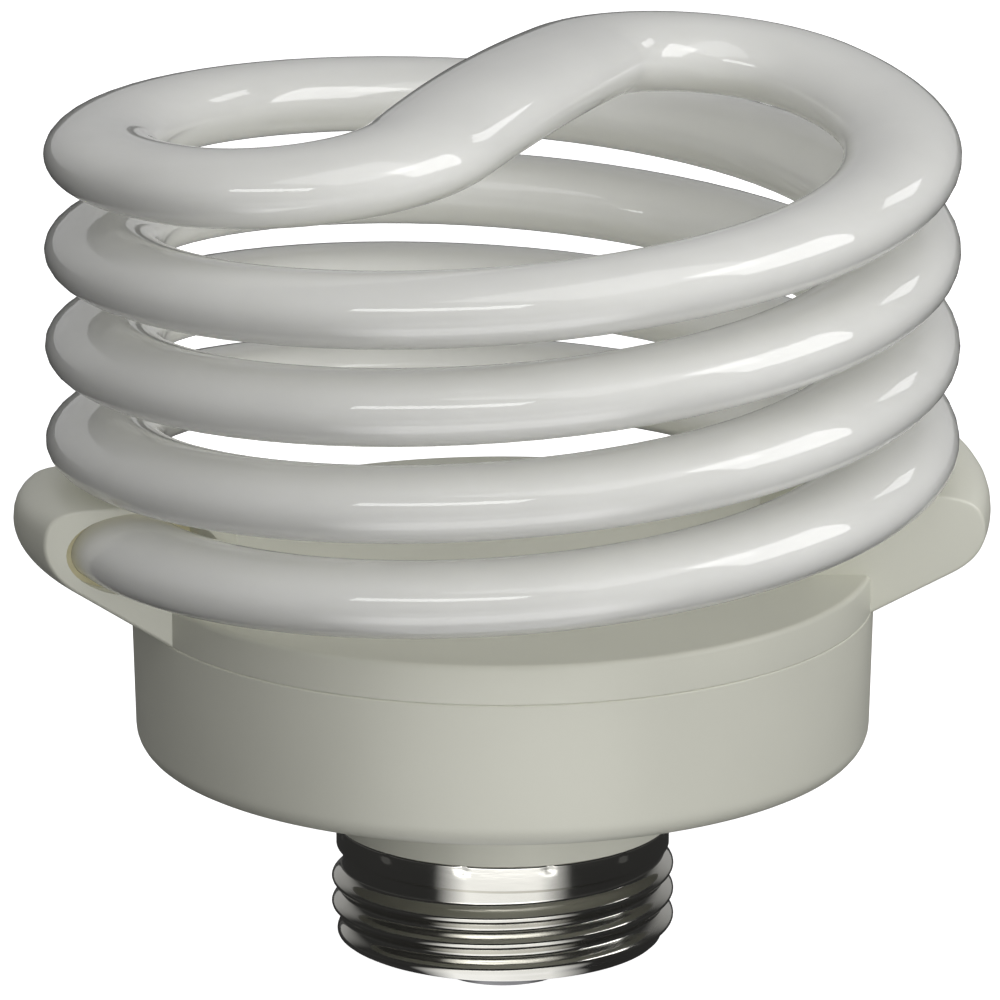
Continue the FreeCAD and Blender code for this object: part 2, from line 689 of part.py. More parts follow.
def make_choke():
    """Choke: a ferrite core of two E halves round a bobbin with its winding."""
    centre = "board_height - choke_drop"
    window_width = "choke_width / 2 - choke_leg - choke_post / 2"
    window_length = "choke_length - 2 * choke_leg"
    low = f"{centre} - choke_height / 2"
    block = box("choke_block", "choke_width", "choke_length", "choke_height", ("choke_place", "0", low))
    windows = []
    for side in (-1, 1):
        across = f"choke_place + {side} * (choke_post + {window_width}) / 2"
        windows.append(box(f"choke_window_{side + 1}", window_width, window_length,
                           f"choke_height + 2 * {THROUGH}", (across, "0", f"{low} - {THROUGH}")))
    keep("choke_core", cut("choke_core", block, fuse("choke_windows", windows)))

    inside = f"{window_length} - 2 * fit_slack"
    tube_width = "choke_post + 2 * bobbin_wall"
    tube_height = "choke_height + 2 * bobbin_wall"
    full_height = f"{tube_height} + 2 * winding_depth"
    tube = box("bobbin_tube", tube_width, inside, tube_height,
               ("choke_place", "0", f"{centre} - ({tube_height}) / 2"))
    blank = [tube]
    low_flange = f"{centre} - ({full_height}) / 2"
    for side in (-1, 1):
        along = f"{side} * ({inside} - bobbin_wall) / 2"
        blank.append(box(f"bobbin_flange_{side + 1}", "choke_width - 2 * choke_leg - 4 * fit_slack",
                         "bobbin_wall", full_height, ("choke_place", along, low_flange)))
    bore = box("bobbin_bore", "choke_post + 2 * fit_slack", f"{inside} + 2 * {THROUGH}",
               "choke_height + 2 * fit_slack", ("choke_place", "0", f"{low} - fit_slack"))
    body = cut("bobbin_body", fuse("bobbin_blank", blank), bore)
    flange_middle = number(f"({inside} - bobbin_wall) / 2")
    pads = []
    places = []
    for side in (-1, 1):
        place = (f"choke_place + {side} * pad_place", f"{side * flange_middle}")
        foot = f"{centre} + ({full_height}) / 2"
        pads.append(box(f"bobbin_pad_{side + 1}", "pad_width", "bobbin_wall", f"board_height - ({foot})",
                        place + (foot,)))
        places.append(place)
    base = legs("bobbin", places, "board_height - pin_seat")
    keep("choke_bobbin", fuse("choke_bobbin", [body] + pads + base))

    wound_length = f"{inside} - 2 * bobbin_wall - 2 * fit_slack"
    wound = box("winding_blank", "choke_width - 2 * choke_leg - 8 * fit_slack", wound_length, full_height,
                ("choke_place", "0", low_flange))
    core_hole = box("winding_bore", tube_width, f"{wound_length} + 2 * {THROUGH}", tube_height,
                    ("choke_place", "0", f"{centre} - ({tube_height}) / 2"))
    keep("choke_winding", cut("choke_winding", wound, core_hole))


def make_cans():
    """Input capacitor that hangs into the neck, and the drum-cored filter choke."""
    top = "board_height - hang_gap"
    leg_foot = f"{top} - pin_seat"
    can = rod("can", "capacitor_radius", "capacitor_length", ("4.6", "1.5", f"{top} - capacitor_length"))
    can_legs = legs("can", [("2.1", "1.5"), ("7.1", "1.5")], leg_foot)
    keep("input_capacitor", fuse("input_capacitor", [can] + can_legs))
    foot = f"{top} - drum_height"
    place = ("15.9", "-12.6")
    drum = [
        rod("drum_low", "drum_radius", "drum_flange", place + (foot,)),
        rod("drum_middle", "drum_neck", "drum_height", place + (foot,)),
        rod("drum_high", "drum_radius", "drum_flange", place + (f"{top} - drum_flange",)),
    ]
    drum_legs = legs("drum", [("14.2", "-12.6"), ("17.6", "-12.6")], leg_foot)
    keep("filter_choke_core", fuse("filter_choke_core", drum + drum_legs))
    wound = rod("drum_wound_blank", "drum_wound", "drum_height - 2 * drum_flange - 4 * fit_slack",
                place + (f"{foot} + drum_flange + 2 * fit_slack",))
    bore = rod("drum_bore", "drum_neck", "drum_height", place + (foot,))
    keep("filter_choke_winding", cut("filter_choke_winding", wound, bore))


def make_toroid():
    """Drive transformer: a flat ferrite ring with three short windings."""
    place = ("8", "-12.9")
    bottom = "board_height - toroid_height - toroid_gap"
    ring = rod("toroid_blank", "toroid_outer", "toroid_height", place + (bottom,))
    bore = rod("toroid_bore", "toroid_inner", f"toroid_height + 2 * {THROUGH}",
               place + (f"{bottom} - {THROUGH}",))
    keep("drive_toroid", cut("drive_toroid", ring, bore))
    middle = (size("toroid_outer") + size("toroid_inner")) / 2
    thickness = size("toroid_outer") - size("toroid_inner")
    height = size("toroid_height")
    strand = 0.4
    strand_width = 0.7
    wrap_turn = 22
    slack = size("fit_slack")
    stand = strand + slack
    wraps = []
    for angle in (60, 180, 300):
        for wrap in (-1, 0, 1):
            outer = Part.makeBox(thickness + 2 * stand, strand_width, height + 2 * stand)
            inner = Part.makeBox(thickness + 2 * slack, strand_width + 2 * THROUGH, height + 2 * slack,
                                 Vector(strand, -THROUGH, strand))
            loop = outer.cut(inner)
            loop.translate(Vector(middle - thickness / 2 - stand, -strand_width / 2, number(bottom) - stand))
            loop.rotate(Vector(), UP, angle + wrap_turn * wrap)
            loop.translate(Vector(float(place[0]), float(place[1]), 0))
            wraps.append(loop)
    keep("toroid_windings", solid("toroid_windings", Part.makeCompound(wraps)))


def make_block(label, length, width, height, place, leg_places):
    """Boxed component under the board, on its legs."""
    body = box(f"{label}_body", str(length), str(width), str(height),
               (str(place[0]), str(place[1]), f"board_height - hang_gap - {height}"))
    pins = legs(label, [(str(across), str(along)) for across, along in leg_places],
                "board_height - hang_gap - pin_seat")
    return keep(label, fuse(label, [body] + pins))


def make_axial(name, radius, length, place, axis="X"):
    """Axial component: a round body with two legs that run out of it and turn up through the board."""
    height = f"board_height - hang_gap - {radius}"
    half = f"{length} / 2"
    reach = f"({length} / 2 + axial_reach)"

    def beside(sign, shift):
        """Place in X and Y at a shift from the middle, along the component."""
        across, along = str(place[0]), str(place[1])
        return (f"{across} {sign} {shift}", along) if axis == "X" else (across, f"{along} {sign} {shift}")

    body = rod(f"{name}_body", str(radius), str(length), beside("-", half) + (height,), axis)
    wire = rod(f"{name}_wire", "pin_radius", f"2 * {reach}", beside("-", reach) + (height,), axis)
    ends = [beside("-", reach), beside("+", reach)]
    return fuse(name, [body, wire] + legs(name, ends, height))


def make_small_components():
    """Film capacitors, transistors, diodes, resistors and the fuse resistor."""
    make_block("blocking_capacitor", 4.2, 10.4, 8.2, (14.4, 8.2), [(14.4, 4.4), (14.4, 12.0)])
    make_block("resonance_capacitor", 4.6, 11.4, 8.3, (19.3, -3.2), [(19.3, -7.2), (19.3, 0.8)])
    for label, across, along in (("upper_transistor", 3.0, 16.2), ("lower_transistor", -7.2, 16.6)):
        pins = [(across + shift, along) for shift in (-2.3, 0, 2.3)]
        make_block(label, 7.8, 3.0, 8.4, (across, along), pins)
    diodes = [make_axial(f"diode_{index}", 1.3, 4.6, (-6.4, -10.4 - 3.1 * index)) for index in range(4)]
    keep("rectifier_diodes", group("rectifier_diodes", diodes))
    keep("trigger_diode", make_axial("trigger_diode", 0.95, 3.8, (-14.6, -11.2)))
    keep("fuse_resistor", make_axial("fuse_resistor", 1.5, 6.6, (0.9, -15.6), "Y"))
    spots = [(11.2, 16.2), (9.9, 19.2), (-14.6, 11.4)]
    resistors = [make_axial(f"resistor_{index}", 1.0, 4.6, spot) for index, spot in enumerate(spots)]
    keep("drive_resistors", group("drive_resistors", resistors))


# Board, posts and wiring

# Places of the wire posts on the right, in X and Y
POSTS = [(23.4, 4.2), (22.6, 7.4)]


def make_board():
    """Round circuit board with a hole for every leg and post."""
    disc = rod("board_disc", "board_radius", "board_thickness", ("0", "0", "board_height"))
    drills = []
    for index, (across, along) in enumerate(board_holes):
        drill = rod(f"drill_{index}", "pin_radius", f"board_thickness + 2 * {THROUGH}",
                    (across, along, f"board_height - {THROUGH}"))
        drills.append(drill)
    for side in (1, -1):
        for across, along in POSTS:
            slot = box(f"post_slot_{len(drills)}", "post_width", "post_width",
                       f"board_thickness + 2 * {THROUGH}",
                       (str(side * across), str(side * along), f"board_height - {THROUGH}"))
            drills.append(slot)
    keep("circuit_board", cut("circuit_board", disc, fuse("board_drills", drills)))


def make_posts():
    """Four square posts that the tube's lead-in wires are wrapped on."""
    posts = []
    for side in (1, -1):
        for across, along in POSTS:
            post = box(f"post_{len(posts)}", "post_width", "post_width",
                       "board_thickness + post_drop + post_stand",
                       (str(side * across), str(side * along), "board_height - post_drop"))
            posts.append(post)
    keep("wire_posts", group("wire_posts", posts))


def wire_solid(points, radius, bend):
    """Round wire along straight runs joined by tangent arcs."""
    edges = []
    here = points[0]
    for before, corner, after in zip(points, points[1:], points[2:]):
        back = (before - corner).normalize()
        onward = (after - corner).normalize()
        half_angle = back.getAngle(onward) / 2
        reach = bend / math.tan(half_angle)
        start = corner + back * reach
        end = corner + onward * reach
        middle_way = (back + onward).normalize()
        middle = corner + middle_way * (bend / math.sin(half_angle) - bend)
        edges.append(Part.LineSegment(here, start).toShape())
        edges.append(Part.Arc(start, middle, end).toShape())
        here = end
    edges.append(Part.LineSegment(here, points[-1]).toShape())
    spine = Part.Wire(edges)
    section = Part.Wire(Part.makeCircle(radius, points[0], points[1] - points[0]))
    return spine.makePipeShell([section], True, False)


def make_leads():
    """Lead-in wires of the tube, and the live and neutral leads to the screw base."""
    radius = size("lead_radius")
    end_point, heading, slope = arm_place(size("tube_start"))
    ahead = Vector(math.cos(heading), math.sin(heading), slope).normalize()
    outward = Vector(math.sin(heading), -math.cos(heading), 0)
    over_board = size("board_height") + size("board_thickness") + 0.55
    in_passage = size("seam_height") + size("skirt_height") + 0.6
    beside_post = size("post_width") / 2 + radius
    wires = []
    for (across, along), shift in zip(POSTS, (1.1, -0.5)):
        start = end_point + outward * shift - ahead * 0.01
        turn = start - ahead * 0.75
        hole = Vector(size("lead_hole_reach") + shift / 2, turn.y + 0.15, in_passage)
        below = Vector(hole.x - 0.4, hole.y + 0.5, over_board)
        reach = Vector(across + beside_post, along - 0.2, over_board)
        tip = Vector(across + beside_post, along + 0.9, over_board)
        wire = wire_solid([start, turn, hole, below, reach, tip], radius, 0.3)
        wires += [turned_about(wire, 0), turned_about(wire, 180)]
    keep("tube_lead_wires", solid("tube_lead_wires", Part.makeCompound(wires)))
    cable = size("cable_radius")
    cable_bend = 1.2
    board = size("board_height")
    live = wire_solid([Vector(0, 0, size("contact_height")), Vector(0, 0, 6.5), Vector(-3.6, -3.2, 10),
                       Vector(-3.6, -4.6, 24), Vector(0.9, -8.4, 26.6), Vector(0.9, -8.4, board)],
                      cable, cable_bend)
    keep("live_lead", solid("live_lead", live))
    shell_wall = size("thread_root") - size("sheet_thickness") - 0.02
    neutral = wire_solid([Vector(-7.4, 3.2, board), Vector(-7.4, 3.2, 20.4), Vector(-7.4, 0, 7.6),
                          Vector(-shell_wall, 0, 7.6)], cable, cable_bend)
    keep("neutral_lead", solid("neutral_lead", neutral))


def check_and_write():
    """Refuse failed features and bad shapes, then write one file for each node."""
    doc.recompute()
    for feature in doc.Objects:
        if "Invalid" in feature.State or "Error" in feature.State:
            raise RuntimeError(f"{feature.Name} failed: {feature.State}")
    for label, feature in nodes.items():
        shape = feature.Shape
        if shape.isNull() or not shape.isValid() or not shape.Solids:
            raise RuntimeError(f"{label} has no valid solid")
    os.makedirs("parts", exist_ok=True)
    for label, feature in nodes.items():
        feature.Shape.exportStep(f"parts/{label}.step")
        bounds = feature.Shape.BoundBox
        print(f"{label:22} solids {len(feature.Shape.Solids)}  volume {feature.Shape.Volume:9.1f}"
              f"  z {bounds.ZMin:6.2f} to {bounds.ZMax:6.2f}  across {bounds.XLength:6.2f}")


fill_sheet()
make_tube()
make_cover()
make_cement()
make_housing()
make_shell()
make_base_end()
make_choke()
make_cans()
make_toroid()
make_small_components()
make_posts()
make_board()
make_leads()
check_and_write()
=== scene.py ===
"""Looks of a spiral energy saving lamp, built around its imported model.

The lamp stands upright on the middle of its centre contact, which is the origin. Sizes in this file
are millimetres until a mesh is finished, and angles are degrees unless a name says otherwise.
"""
import json
import logging
import math
from dataclasses import dataclass, field
from enum import Enum
from typing import Callable, Protocol, Sequence

import bmesh
import bpy
from bmesh.types import BMEdge, BMesh, BMVert
from bpy.types import Material, Node, NodeSocket, NodeTree, Object
from mathutils import Matrix, Quaternion, Vector


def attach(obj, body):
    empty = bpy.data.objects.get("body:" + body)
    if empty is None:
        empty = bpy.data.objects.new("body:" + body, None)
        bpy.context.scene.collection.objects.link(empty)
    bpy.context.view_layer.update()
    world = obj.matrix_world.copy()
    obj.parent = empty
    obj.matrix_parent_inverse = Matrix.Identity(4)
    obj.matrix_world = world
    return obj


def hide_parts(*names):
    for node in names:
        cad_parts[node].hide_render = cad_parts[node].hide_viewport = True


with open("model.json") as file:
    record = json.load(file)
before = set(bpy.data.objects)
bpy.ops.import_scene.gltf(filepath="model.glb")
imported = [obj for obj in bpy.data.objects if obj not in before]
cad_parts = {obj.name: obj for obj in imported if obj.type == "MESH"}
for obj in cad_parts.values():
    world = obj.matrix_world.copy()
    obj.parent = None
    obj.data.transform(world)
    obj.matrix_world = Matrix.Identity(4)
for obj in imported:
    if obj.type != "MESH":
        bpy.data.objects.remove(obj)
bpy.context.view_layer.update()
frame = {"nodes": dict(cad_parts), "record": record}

LOG = logging.getLogger("lamp")
MILLIMETRE = 0.001
BODY = "root"
WELD_MM = 1e-4
WELD_M = 2e-6
SHORTEST_EDGE_M = 1e-6
UP = Vector((0, 0, 1))
Colour = tuple[float, float, float]


# Paths and sections, as the source of the solids has them

@dataclass(frozen=True)
class CoilPath:
    """Centre line and oval section of the glass tube."""

    coil_radius: float = 30.35
    coil_spacing: float = 7.48
    coil_foot: float = 35.25
    half_turns: float = 4.0
    tube_width: float = 9.0
    tube_height: float = 5.55
    foot_lift: float = 1.2
    foot_ease: float = 0.6
    tube_start: float = -0.02
    loop_radius: float = 23.9
    bend_radius: float = 11.2
    crossing_angle: float = 67.0
    crossing_rise: float = 4.1
    crossing_swell: float = 0.30
    crossing_puff: float = 0.09

    def arm(self, level: float) -> tuple[Vector, Vector]:
        """Place and direction on the right-hand arm.

        Args:
            level: half turns from the socket.

        Returns:
            The point of the centre line and the unit vector along it.
        """
        turn = math.pi * level
        fade = max(0.0, 1 - level / self.foot_ease)
        height = self.coil_foot + self.coil_spacing * level + self.foot_lift * fade ** 2
        climb = self.coil_spacing - 2 * self.foot_lift * fade / self.foot_ease
        point = Vector((self.coil_radius * math.cos(turn), self.coil_radius * math.sin(turn), height))
        slope = climb / (math.pi * self.coil_radius)
        return point, Vector((-math.sin(turn), math.cos(turn), slope)).normalized()

    def crossing(self, share: float) -> tuple[Vector, Vector]:
        """Place and direction on the crossover.

        Args:
            share: 0 where the right arm ends and 1 where the left arm begins.

        Returns:
            The point of the centre line and the unit vector along it.
        """
        angle = math.radians(self.crossing_angle)
        offset = self.coil_radius - self.loop_radius
        inner = self.loop_radius - self.bend_radius
        first_turn = angle - math.asin((self.bend_radius - offset * math.sin(angle)) / inner)
        loop_centre = Vector((offset, 0, 0))
        bend_centre = loop_centre + Vector((math.cos(first_turn), math.sin(first_turn), 0)) * inner
        away = Vector((math.cos(angle), math.sin(angle), 0))
        loop_run = self.loop_radius * first_turn
        bend_run = self.bend_radius * (math.pi / 2 + angle - first_turn)
        half = loop_run + bend_run + bend_centre.dot(away)
        way = half * (1 - abs(1 - 2 * share))
        if way < loop_run:
            turn = way / self.loop_radius
            centre, radius = loop_centre, self.loop_radius
        else:
            turn = first_turn + (way - loop_run) / self.bend_radius
            centre, radius = bend_centre, self.bend_radius
        if way < loop_run + bend_run:
            point = centre + Vector((math.cos(turn), math.sin(turn), 0)) * radius
            heading = turn + math.pi / 2
        else:
            point = away * (half - way)
            heading = math.pi + angle
        ratio = way / half
        entry = self.coil_spacing / (math.pi * self.coil_radius)
        top = self.coil_foot + self.coil_spacing * self.half_turns
        climb_in = entry * half * (ratio ** 3 - 2 * ratio ** 2 + ratio)
        climb_on = self.crossing_rise * (3 * ratio ** 2 - 2 * ratio ** 3)
        slope = entry * (3 * ratio ** 2 - 4 * ratio + 1)
        slope += self.crossing_rise * (6 * ratio - 6 * ratio ** 2) / half
        side = -1 if share > 0.5 else 1
        place = Vector((side * point.x, side * point.y, top + climb_in + climb_on))
        return place, Vector((math.cos(heading), math.sin(heading), side * slope)).normalized()

    def along(self, way: float) -> tuple[Vector, Vector]:
        """Place and direction on the whole tube.

        Args:
            way: up the right arm to 1, over the top to 2, and down the left arm to 3.

        Returns:
            The point of the centre line and the unit vector along it.
        """
        if 1 <= way <= 2:
            return self.crossing(way - 1)
        climb = self.half_turns - self.tube_start
        if way < 1:
            return self.arm(self.tube_start + climb * way)
        point, ahead = self.arm(self.tube_start + climb * (3 - way))
        return Vector((-point.x, -point.y, point.z)), Vector((ahead.x, ahead.y, -ahead.z))

    def half_sizes(self, way: float) -> tuple[float, float]:
        """Half sizes of the oval section.

        Args:
            way: place along the whole tube, from 0 to 3.

        Returns:
            Half the width and half the height.
        """
        swell = 0.5 - 0.5 * math.cos(2 * math.pi * way) if 1 < way < 2 else 0.0
        half_width = self.tube_width / 2 * (1 + self.crossing_swell * swell)
        half_height = self.tube_height / 2 * (1 + self.crossing_puff * swell)
        return half_width, half_height


def oval_placement(point: Vector, ahead: Vector, half_width: float, half_height: float) -> Matrix:
    """Placement of an oval square to a path, with its long axis level.

    Args:
        point: centre of the oval.
        ahead: unit vector along the path.
        half_width: half the long axis.
        half_height: half the short axis.

    Returns:
        The matrix that takes a unit circle to the oval.
    """
    outward = Vector((ahead.y, -ahead.x, 0)).normalized()
    upward = outward.cross(ahead)
    columns = (outward * half_width, upward * half_height, ahead)
    return Matrix.Translation(point) @ Matrix([list(row) for row in zip(*columns)]).to_4x4()


# Mesh tools

def extruded_ring(mesh: BMesh, edges: list[BMEdge]) -> tuple[list[BMVert], list[BMEdge]]:
    """Extrudes a ring of edges.

    Args:
        mesh: the mesh that grows.
        edges: the ring.

    Returns:
        The new vertices and the new ring of edges.
    """
    made = bmesh.ops.extrude_edge_only(mesh, edges=edges)["geom"]
    verts = [part for part in made if isinstance(part, BMVert)]
    ring = set(verts)
    fresh = [part for part in made if isinstance(part, BMEdge)
             and part.verts[0] in ring and part.verts[1] in ring]
    return verts, fresh


def close_up(mesh: BMesh) -> None:
    """Caps open ends, merges doubles and turns every face outwards.

    Args:
        mesh: the mesh, which changes.
    """
    bmesh.ops.holes_fill(mesh, edges=mesh.edges[:], sides=0)
    bmesh.ops.remove_doubles(mesh, verts=mesh.verts[:], dist=WELD_MM)
    bmesh.ops.recalc_face_normals(mesh, faces=mesh.faces[:])


def swept(placements: Sequence[Matrix], segments: int) -> BMesh:
    """Closed bar swept by a circle that is extruded from placement to placement.

    Args:
        placements: matrices that take a unit circle to each section.
        segments: corners of the circle.

    Returns:
        The mesh, closed at both ends.
    """
    mesh = bmesh.new()
    bmesh.ops.create_circle(mesh, segments=segments, radius=1.0, matrix=placements[0])
    edges = mesh.edges[:]
    for before, after in zip(placements, placements[1:]):
        verts, edges = extruded_ring(mesh, edges)
        bmesh.ops.transform(mesh, matrix=after @ before.inverted(), verts=verts)
    close_up(mesh)
    return mesh


def turned(profile: Sequence[tuple[float, float]], steps: int = 160) -> BMesh:
    """Solid of revolution about the lamp's axis.

    Args:
        profile: corners of the outline as radius and height; it is closed by its last side.
        steps: steps round the axis.

    Returns:
        The closed mesh.
    """
    mesh = bmesh.new()
    verts = [mesh.verts.new((radius, 0, height)) for radius, height in profile]
    for first, second in zip(verts, verts[1:] + verts[:1]):
        if abs(first.co.x) + abs(second.co.x) > 0:
            mesh.edges.new((first, second))
    bmesh.ops.spin(mesh, geom=mesh.verts[:] + mesh.edges[:], angle=2 * math.pi, steps=steps, axis=UP,
                   cent=(0, 0, 0), use_merge=True)
    bmesh.ops.remove_doubles(mesh, verts=mesh.verts[:], dist=WELD_MM)
    bmesh.ops.recalc_face_normals(mesh, faces=mesh.faces[:])
    return mesh


def rounded(profile: Sequence[tuple[float, float, float]], bits: int = 5) -> list[tuple[float, float]]:
    """Outline with its corners rounded.

    Args:
        profile: corners as radius, height and rounding.
        bits: straight bits in a rounded corner.

    Returns:
        The outline's points as radius and height.
    """
    points: list[tuple[float, float]] = []
    count = len(profile)
    for index, (across, height, rounding) in enumerate(profile):
        corner = Vector((across, height))
        if rounding == 0:
            points.append((across, height))
            continue
        before = (Vector(profile[index - 1][:2]) - corner).normalized()
        after = (Vector(profile[(index + 1) % count][:2]) - corner).normalized()
        half = before.angle(after) / 2
        reach = rounding / math.tan(half)
        centre = corner + (before + after).normalized() * (rounding / math.sin(half))
        start = corner + before * reach - centre
        swing = start.angle_signed(corner + after * reach - centre)
        for bit in range(bits + 1):
            spoke = start.copy()
            spoke.rotate(Matrix.Rotation(-swing * bit / bits, 2))
            points.append((centre.x + spoke.x, centre.y + spoke.y))
    return points


def finished(mesh: BMesh, name: str, sharp: float = 35.0) -> Object:
    """Object made from a mesh in millimetres.

    Args:
        mesh: the mesh, which is freed.
        name: name of the new object.
        sharp: angle above which an edge shades as sharp.

    Returns:
        The object, at the origin, in metres.
    """
    bmesh.ops.scale(mesh, vec=(MILLIMETRE,) * 3, verts=mesh.verts[:])
    data = bpy.data.meshes.new(name)
    mesh.to_mesh(data)
    mesh.free()
    data.shade_smooth()
    data.set_sharp_from_angle(angle=math.radians(sharp))
    made = bpy.data.objects.new(name, data)
    bpy.context.scene.collection.objects.link(made)
    return made


class Join(Enum):
    """How tools change the piece that they are applied to."""

    UNION = "UNION"
    DIFFERENCE = "DIFFERENCE"


def combined(base: Object, tools: Sequence[Object], join: Join, sharp: float) -> None:
    """Applies a boolean of several tools to an object and removes the tools.

    Args:
        base: the object that changes.
        tools: the objects that are joined to it or cut from it.
        join: whether the tools are joined or cut.
        sharp: angle above which an edge of the result shades as sharp.
    """
    for tool in tools:
        modifier = base.modifiers.new(join.name.lower(), "BOOLEAN")
        modifier.operation = join.value
        modifier.solver = "EXACT"
        modifier.object = tool
    shape = bpy.data.meshes.new_from_object(base.evaluated_get(bpy.context.evaluated_depsgraph_get()))
    base.modifiers.clear()
    old = base.data
    base.data = shape
    bpy.data.meshes.remove(old)
    for tool in tools:
        bpy.data.meshes.remove(tool.data)
    mesh = bmesh.new()
    mesh.from_mesh(shape)
    bmesh.ops.remove_doubles(mesh, verts=mesh.verts[:], dist=WELD_M)
    bmesh.ops.dissolve_degenerate(mesh, edges=mesh.edges[:], dist=SHORTEST_EDGE_M)
    mesh.to_mesh(shape)
    mesh.free()
    shape.shade_smooth()
    shape.set_sharp_from_angle(angle=math.radians(sharp))


class Finish(Protocol):
    """What a piece can be made of."""

    @property
    def name(self) -> str:
        """Name of the material."""

    def material(self) -> Material:
        """The finish as a material."""


def stand_for(piece: Object, finish: Finish, slot: str, *nodes: str) -> Object:
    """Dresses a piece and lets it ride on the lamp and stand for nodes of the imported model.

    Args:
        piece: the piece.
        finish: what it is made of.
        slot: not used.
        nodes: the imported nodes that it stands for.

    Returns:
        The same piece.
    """
    piece.data.materials.clear()
    piece.data.materials.append(finish.material())
    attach(piece, BODY)
    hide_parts(*nodes)
    return piece


# Finishes

def new_material(name: str) -> tuple[Material, Node]:
    """New node material.

    Args:
        name: name of the material.

    Returns:
        The material and its Principled shader.
    """
    material = bpy.data.materials.new(name)
    material.use_nodes = True
    return material, material.node_tree.nodes["Principled BSDF"]


def feed(tree: NodeTree, node: Node, **inputs: NodeSocket | float | tuple) -> Node:
    """Sets or links inputs of a node.

    Args:
        tree: node tree of the node.
        node: the node.
        inputs: value or source of each input, under its name with _ for a space.

    Returns:
        The same node.
    """
    for name, value in inputs.items():
        socket = node.inputs[name.replace("_", " ")]
        if isinstance(value, NodeSocket):
            tree.links.new(value, socket)
        else:
            socket.default_value = value
    return node


def add_node(tree: NodeTree, kind: str, **inputs: NodeSocket | float | tuple) -> Node:
    """Adds a shader node of a kind, with its inputs as in feed."""
    return feed(tree, tree.nodes.new(f"ShaderNode{kind}"), **inputs)


def noise(tree: NodeTree, scale: float, detail: float,
          stretch: tuple[float, float, float] = (1, 1, 1)) -> NodeSocket:
    """Noise on Object coordinates.

    Args:
        tree: node tree that gets the nodes.
        scale: scale of the noise, per metre.
        detail: octaves of the noise.
        stretch: scale of the coordinates along each axis.

    Returns:
        The socket with the noise.
    """
    place = add_node(tree, "TexCoord")
    mapping = add_node(tree, "Mapping", Vector=place.outputs["Object"], Scale=stretch)
    node = add_node(tree, "TexNoise", Vector=mapping.outputs["Vector"], Scale=scale, Detail=detail)
    return node.outputs["Fac"]


def ramp(tree: NodeTree, source: NodeSocket, *stops: tuple[float, Colour]) -> NodeSocket:
    """Colour ramp fed by a socket.

    Args:
        tree: node tree that gets the node.
        source: socket that drives the ramp.
        stops: position and colour of each stop, from low to high.

    Returns:
        The socket with the colour.
    """
    node = add_node(tree, "ValToRGB", Fac=source)
    elements = node.color_ramp.elements
    while len(elements) < len(stops):
        elements.new(0.5)
    for element, (position, colour) in zip(elements, stops):
        element.position = position
        element.color = (*colour, 1)
    return node.outputs["Color"]


def bump(tree: NodeTree, height: NodeSocket, depth: float, strength: float) -> NodeSocket:
    """Normal moved by a height, with the depth in metres and the strength up to 1."""
    return add_node(tree, "Bump", Height=height, Distance=depth, Strength=strength).outputs["Normal"]


def shaded(colour: Colour, share: float) -> Colour:
    """Colour brought down to a share of its lightness."""
    return tuple(part * share for part in colour)


def grey(level: float) -> Colour:
    """Neutral colour of a level."""
    return (level,) * 3


@dataclass(frozen=True)
class OpalGlass:
    """Clear glass over a white inner coating: a diffuse body under a smooth clear coat, with painted shade
    that darkens its colour towards the silhouettes.
    """

    name: str = "opal_tube_glass"
    body: Colour = (0.82, 0.82, 0.79)
    cloud: float = 0.94
    cloud_scale: float = 90.0
    cloud_detail: float = 4.0
    cloud_stops: tuple[float, float] = (0.3, 0.7)
    roughness: float = 0.6
    specular: float = 0.1
    # The rim values below set painted shade: how much of the colour is kept where the surface turns
    # edge-on to the view.
    rim: float = 0.85
    rim_shade_blend: float = 0.5
    rim_shade_stops: tuple[float, float] = (0.55, 0.97)
    glow_through: float = 0.5
    glow_reach: float = 0.004
    glow_colour: Colour = (1.0, 1.0, 0.95)
    coat_ior: float = 1.55
    coat_roughness: float = 0.015

    def material(self) -> Material:
        """Makes the glass.

        Returns:
            The material of the tube.
        """
        material, shader = new_material(self.name)
        tree = material.node_tree
        thin, thick = self.cloud_stops
        coating = ramp(tree, noise(tree, self.cloud_scale, self.cloud_detail),
                       (thin, shaded(self.body, self.cloud)), (thick, self.body))
        # Painted shade: Layer Weight facing darkens the base colour towards the silhouettes; wall and
        # depth carry this painted shade.
        edge = add_node(tree, "LayerWeight", Blend=self.rim_shade_blend)
        inside, outside = self.rim_shade_stops
        wall = ramp(tree, edge.outputs["Facing"], (inside, grey(1.0)), (outside, grey(self.rim)))
        depth = tree.nodes.new("ShaderNodeMix")
        depth.data_type = "RGBA"
        depth.blend_type = "MULTIPLY"
        feed(tree, depth, Factor=1.0, A=coating, B=wall)
        feed(tree, shader, Base_Color=depth.outputs["Result"], Roughness=self.roughness,
             Specular_IOR_Level=self.specular, Coat_Weight=1.0, Coat_IOR=self.coat_ior,
             Coat_Roughness=self.coat_roughness, Subsurface_Weight=self.glow_through,
             Subsurface_Radius=self.glow_colour, Subsurface_Scale=self.glow_reach)
        return material


@dataclass(frozen=True)
class MouldedPlastic:
    """Fine matt moulded plastic with a slight change of tint and the grain of an eroded mould."""

    name: str
    colour: Colour
    roughness: float = 0.42
    tint: float = 0.96
    tint_scale: float = 60.0
    tint_stops: tuple[float, float] = (0.35, 0.65)
    detail: float = 2.0
    grain_scale: float = 2600.0
    grain_depth: float = 0.00002
    grain_strength: float = 0.35

    def material(self) -> Material:
        """Makes the plastic.

        Returns:
            The material of a moulding.
        """
        material, shader = new_material(self.name)
        tree = material.node_tree
        low, high = self.tint_stops
        tint = ramp(tree, noise(tree, self.tint_scale, self.detail),
                    (low, shaded(self.colour, self.tint)), (high, self.colour))
        grain = noise(tree, self.grain_scale, self.detail)
        feed(tree, shader, Base_Color=tint, Roughness=self.roughness,
             Normal=bump(tree, grain, self.grain_depth, self.grain_strength))
        return material


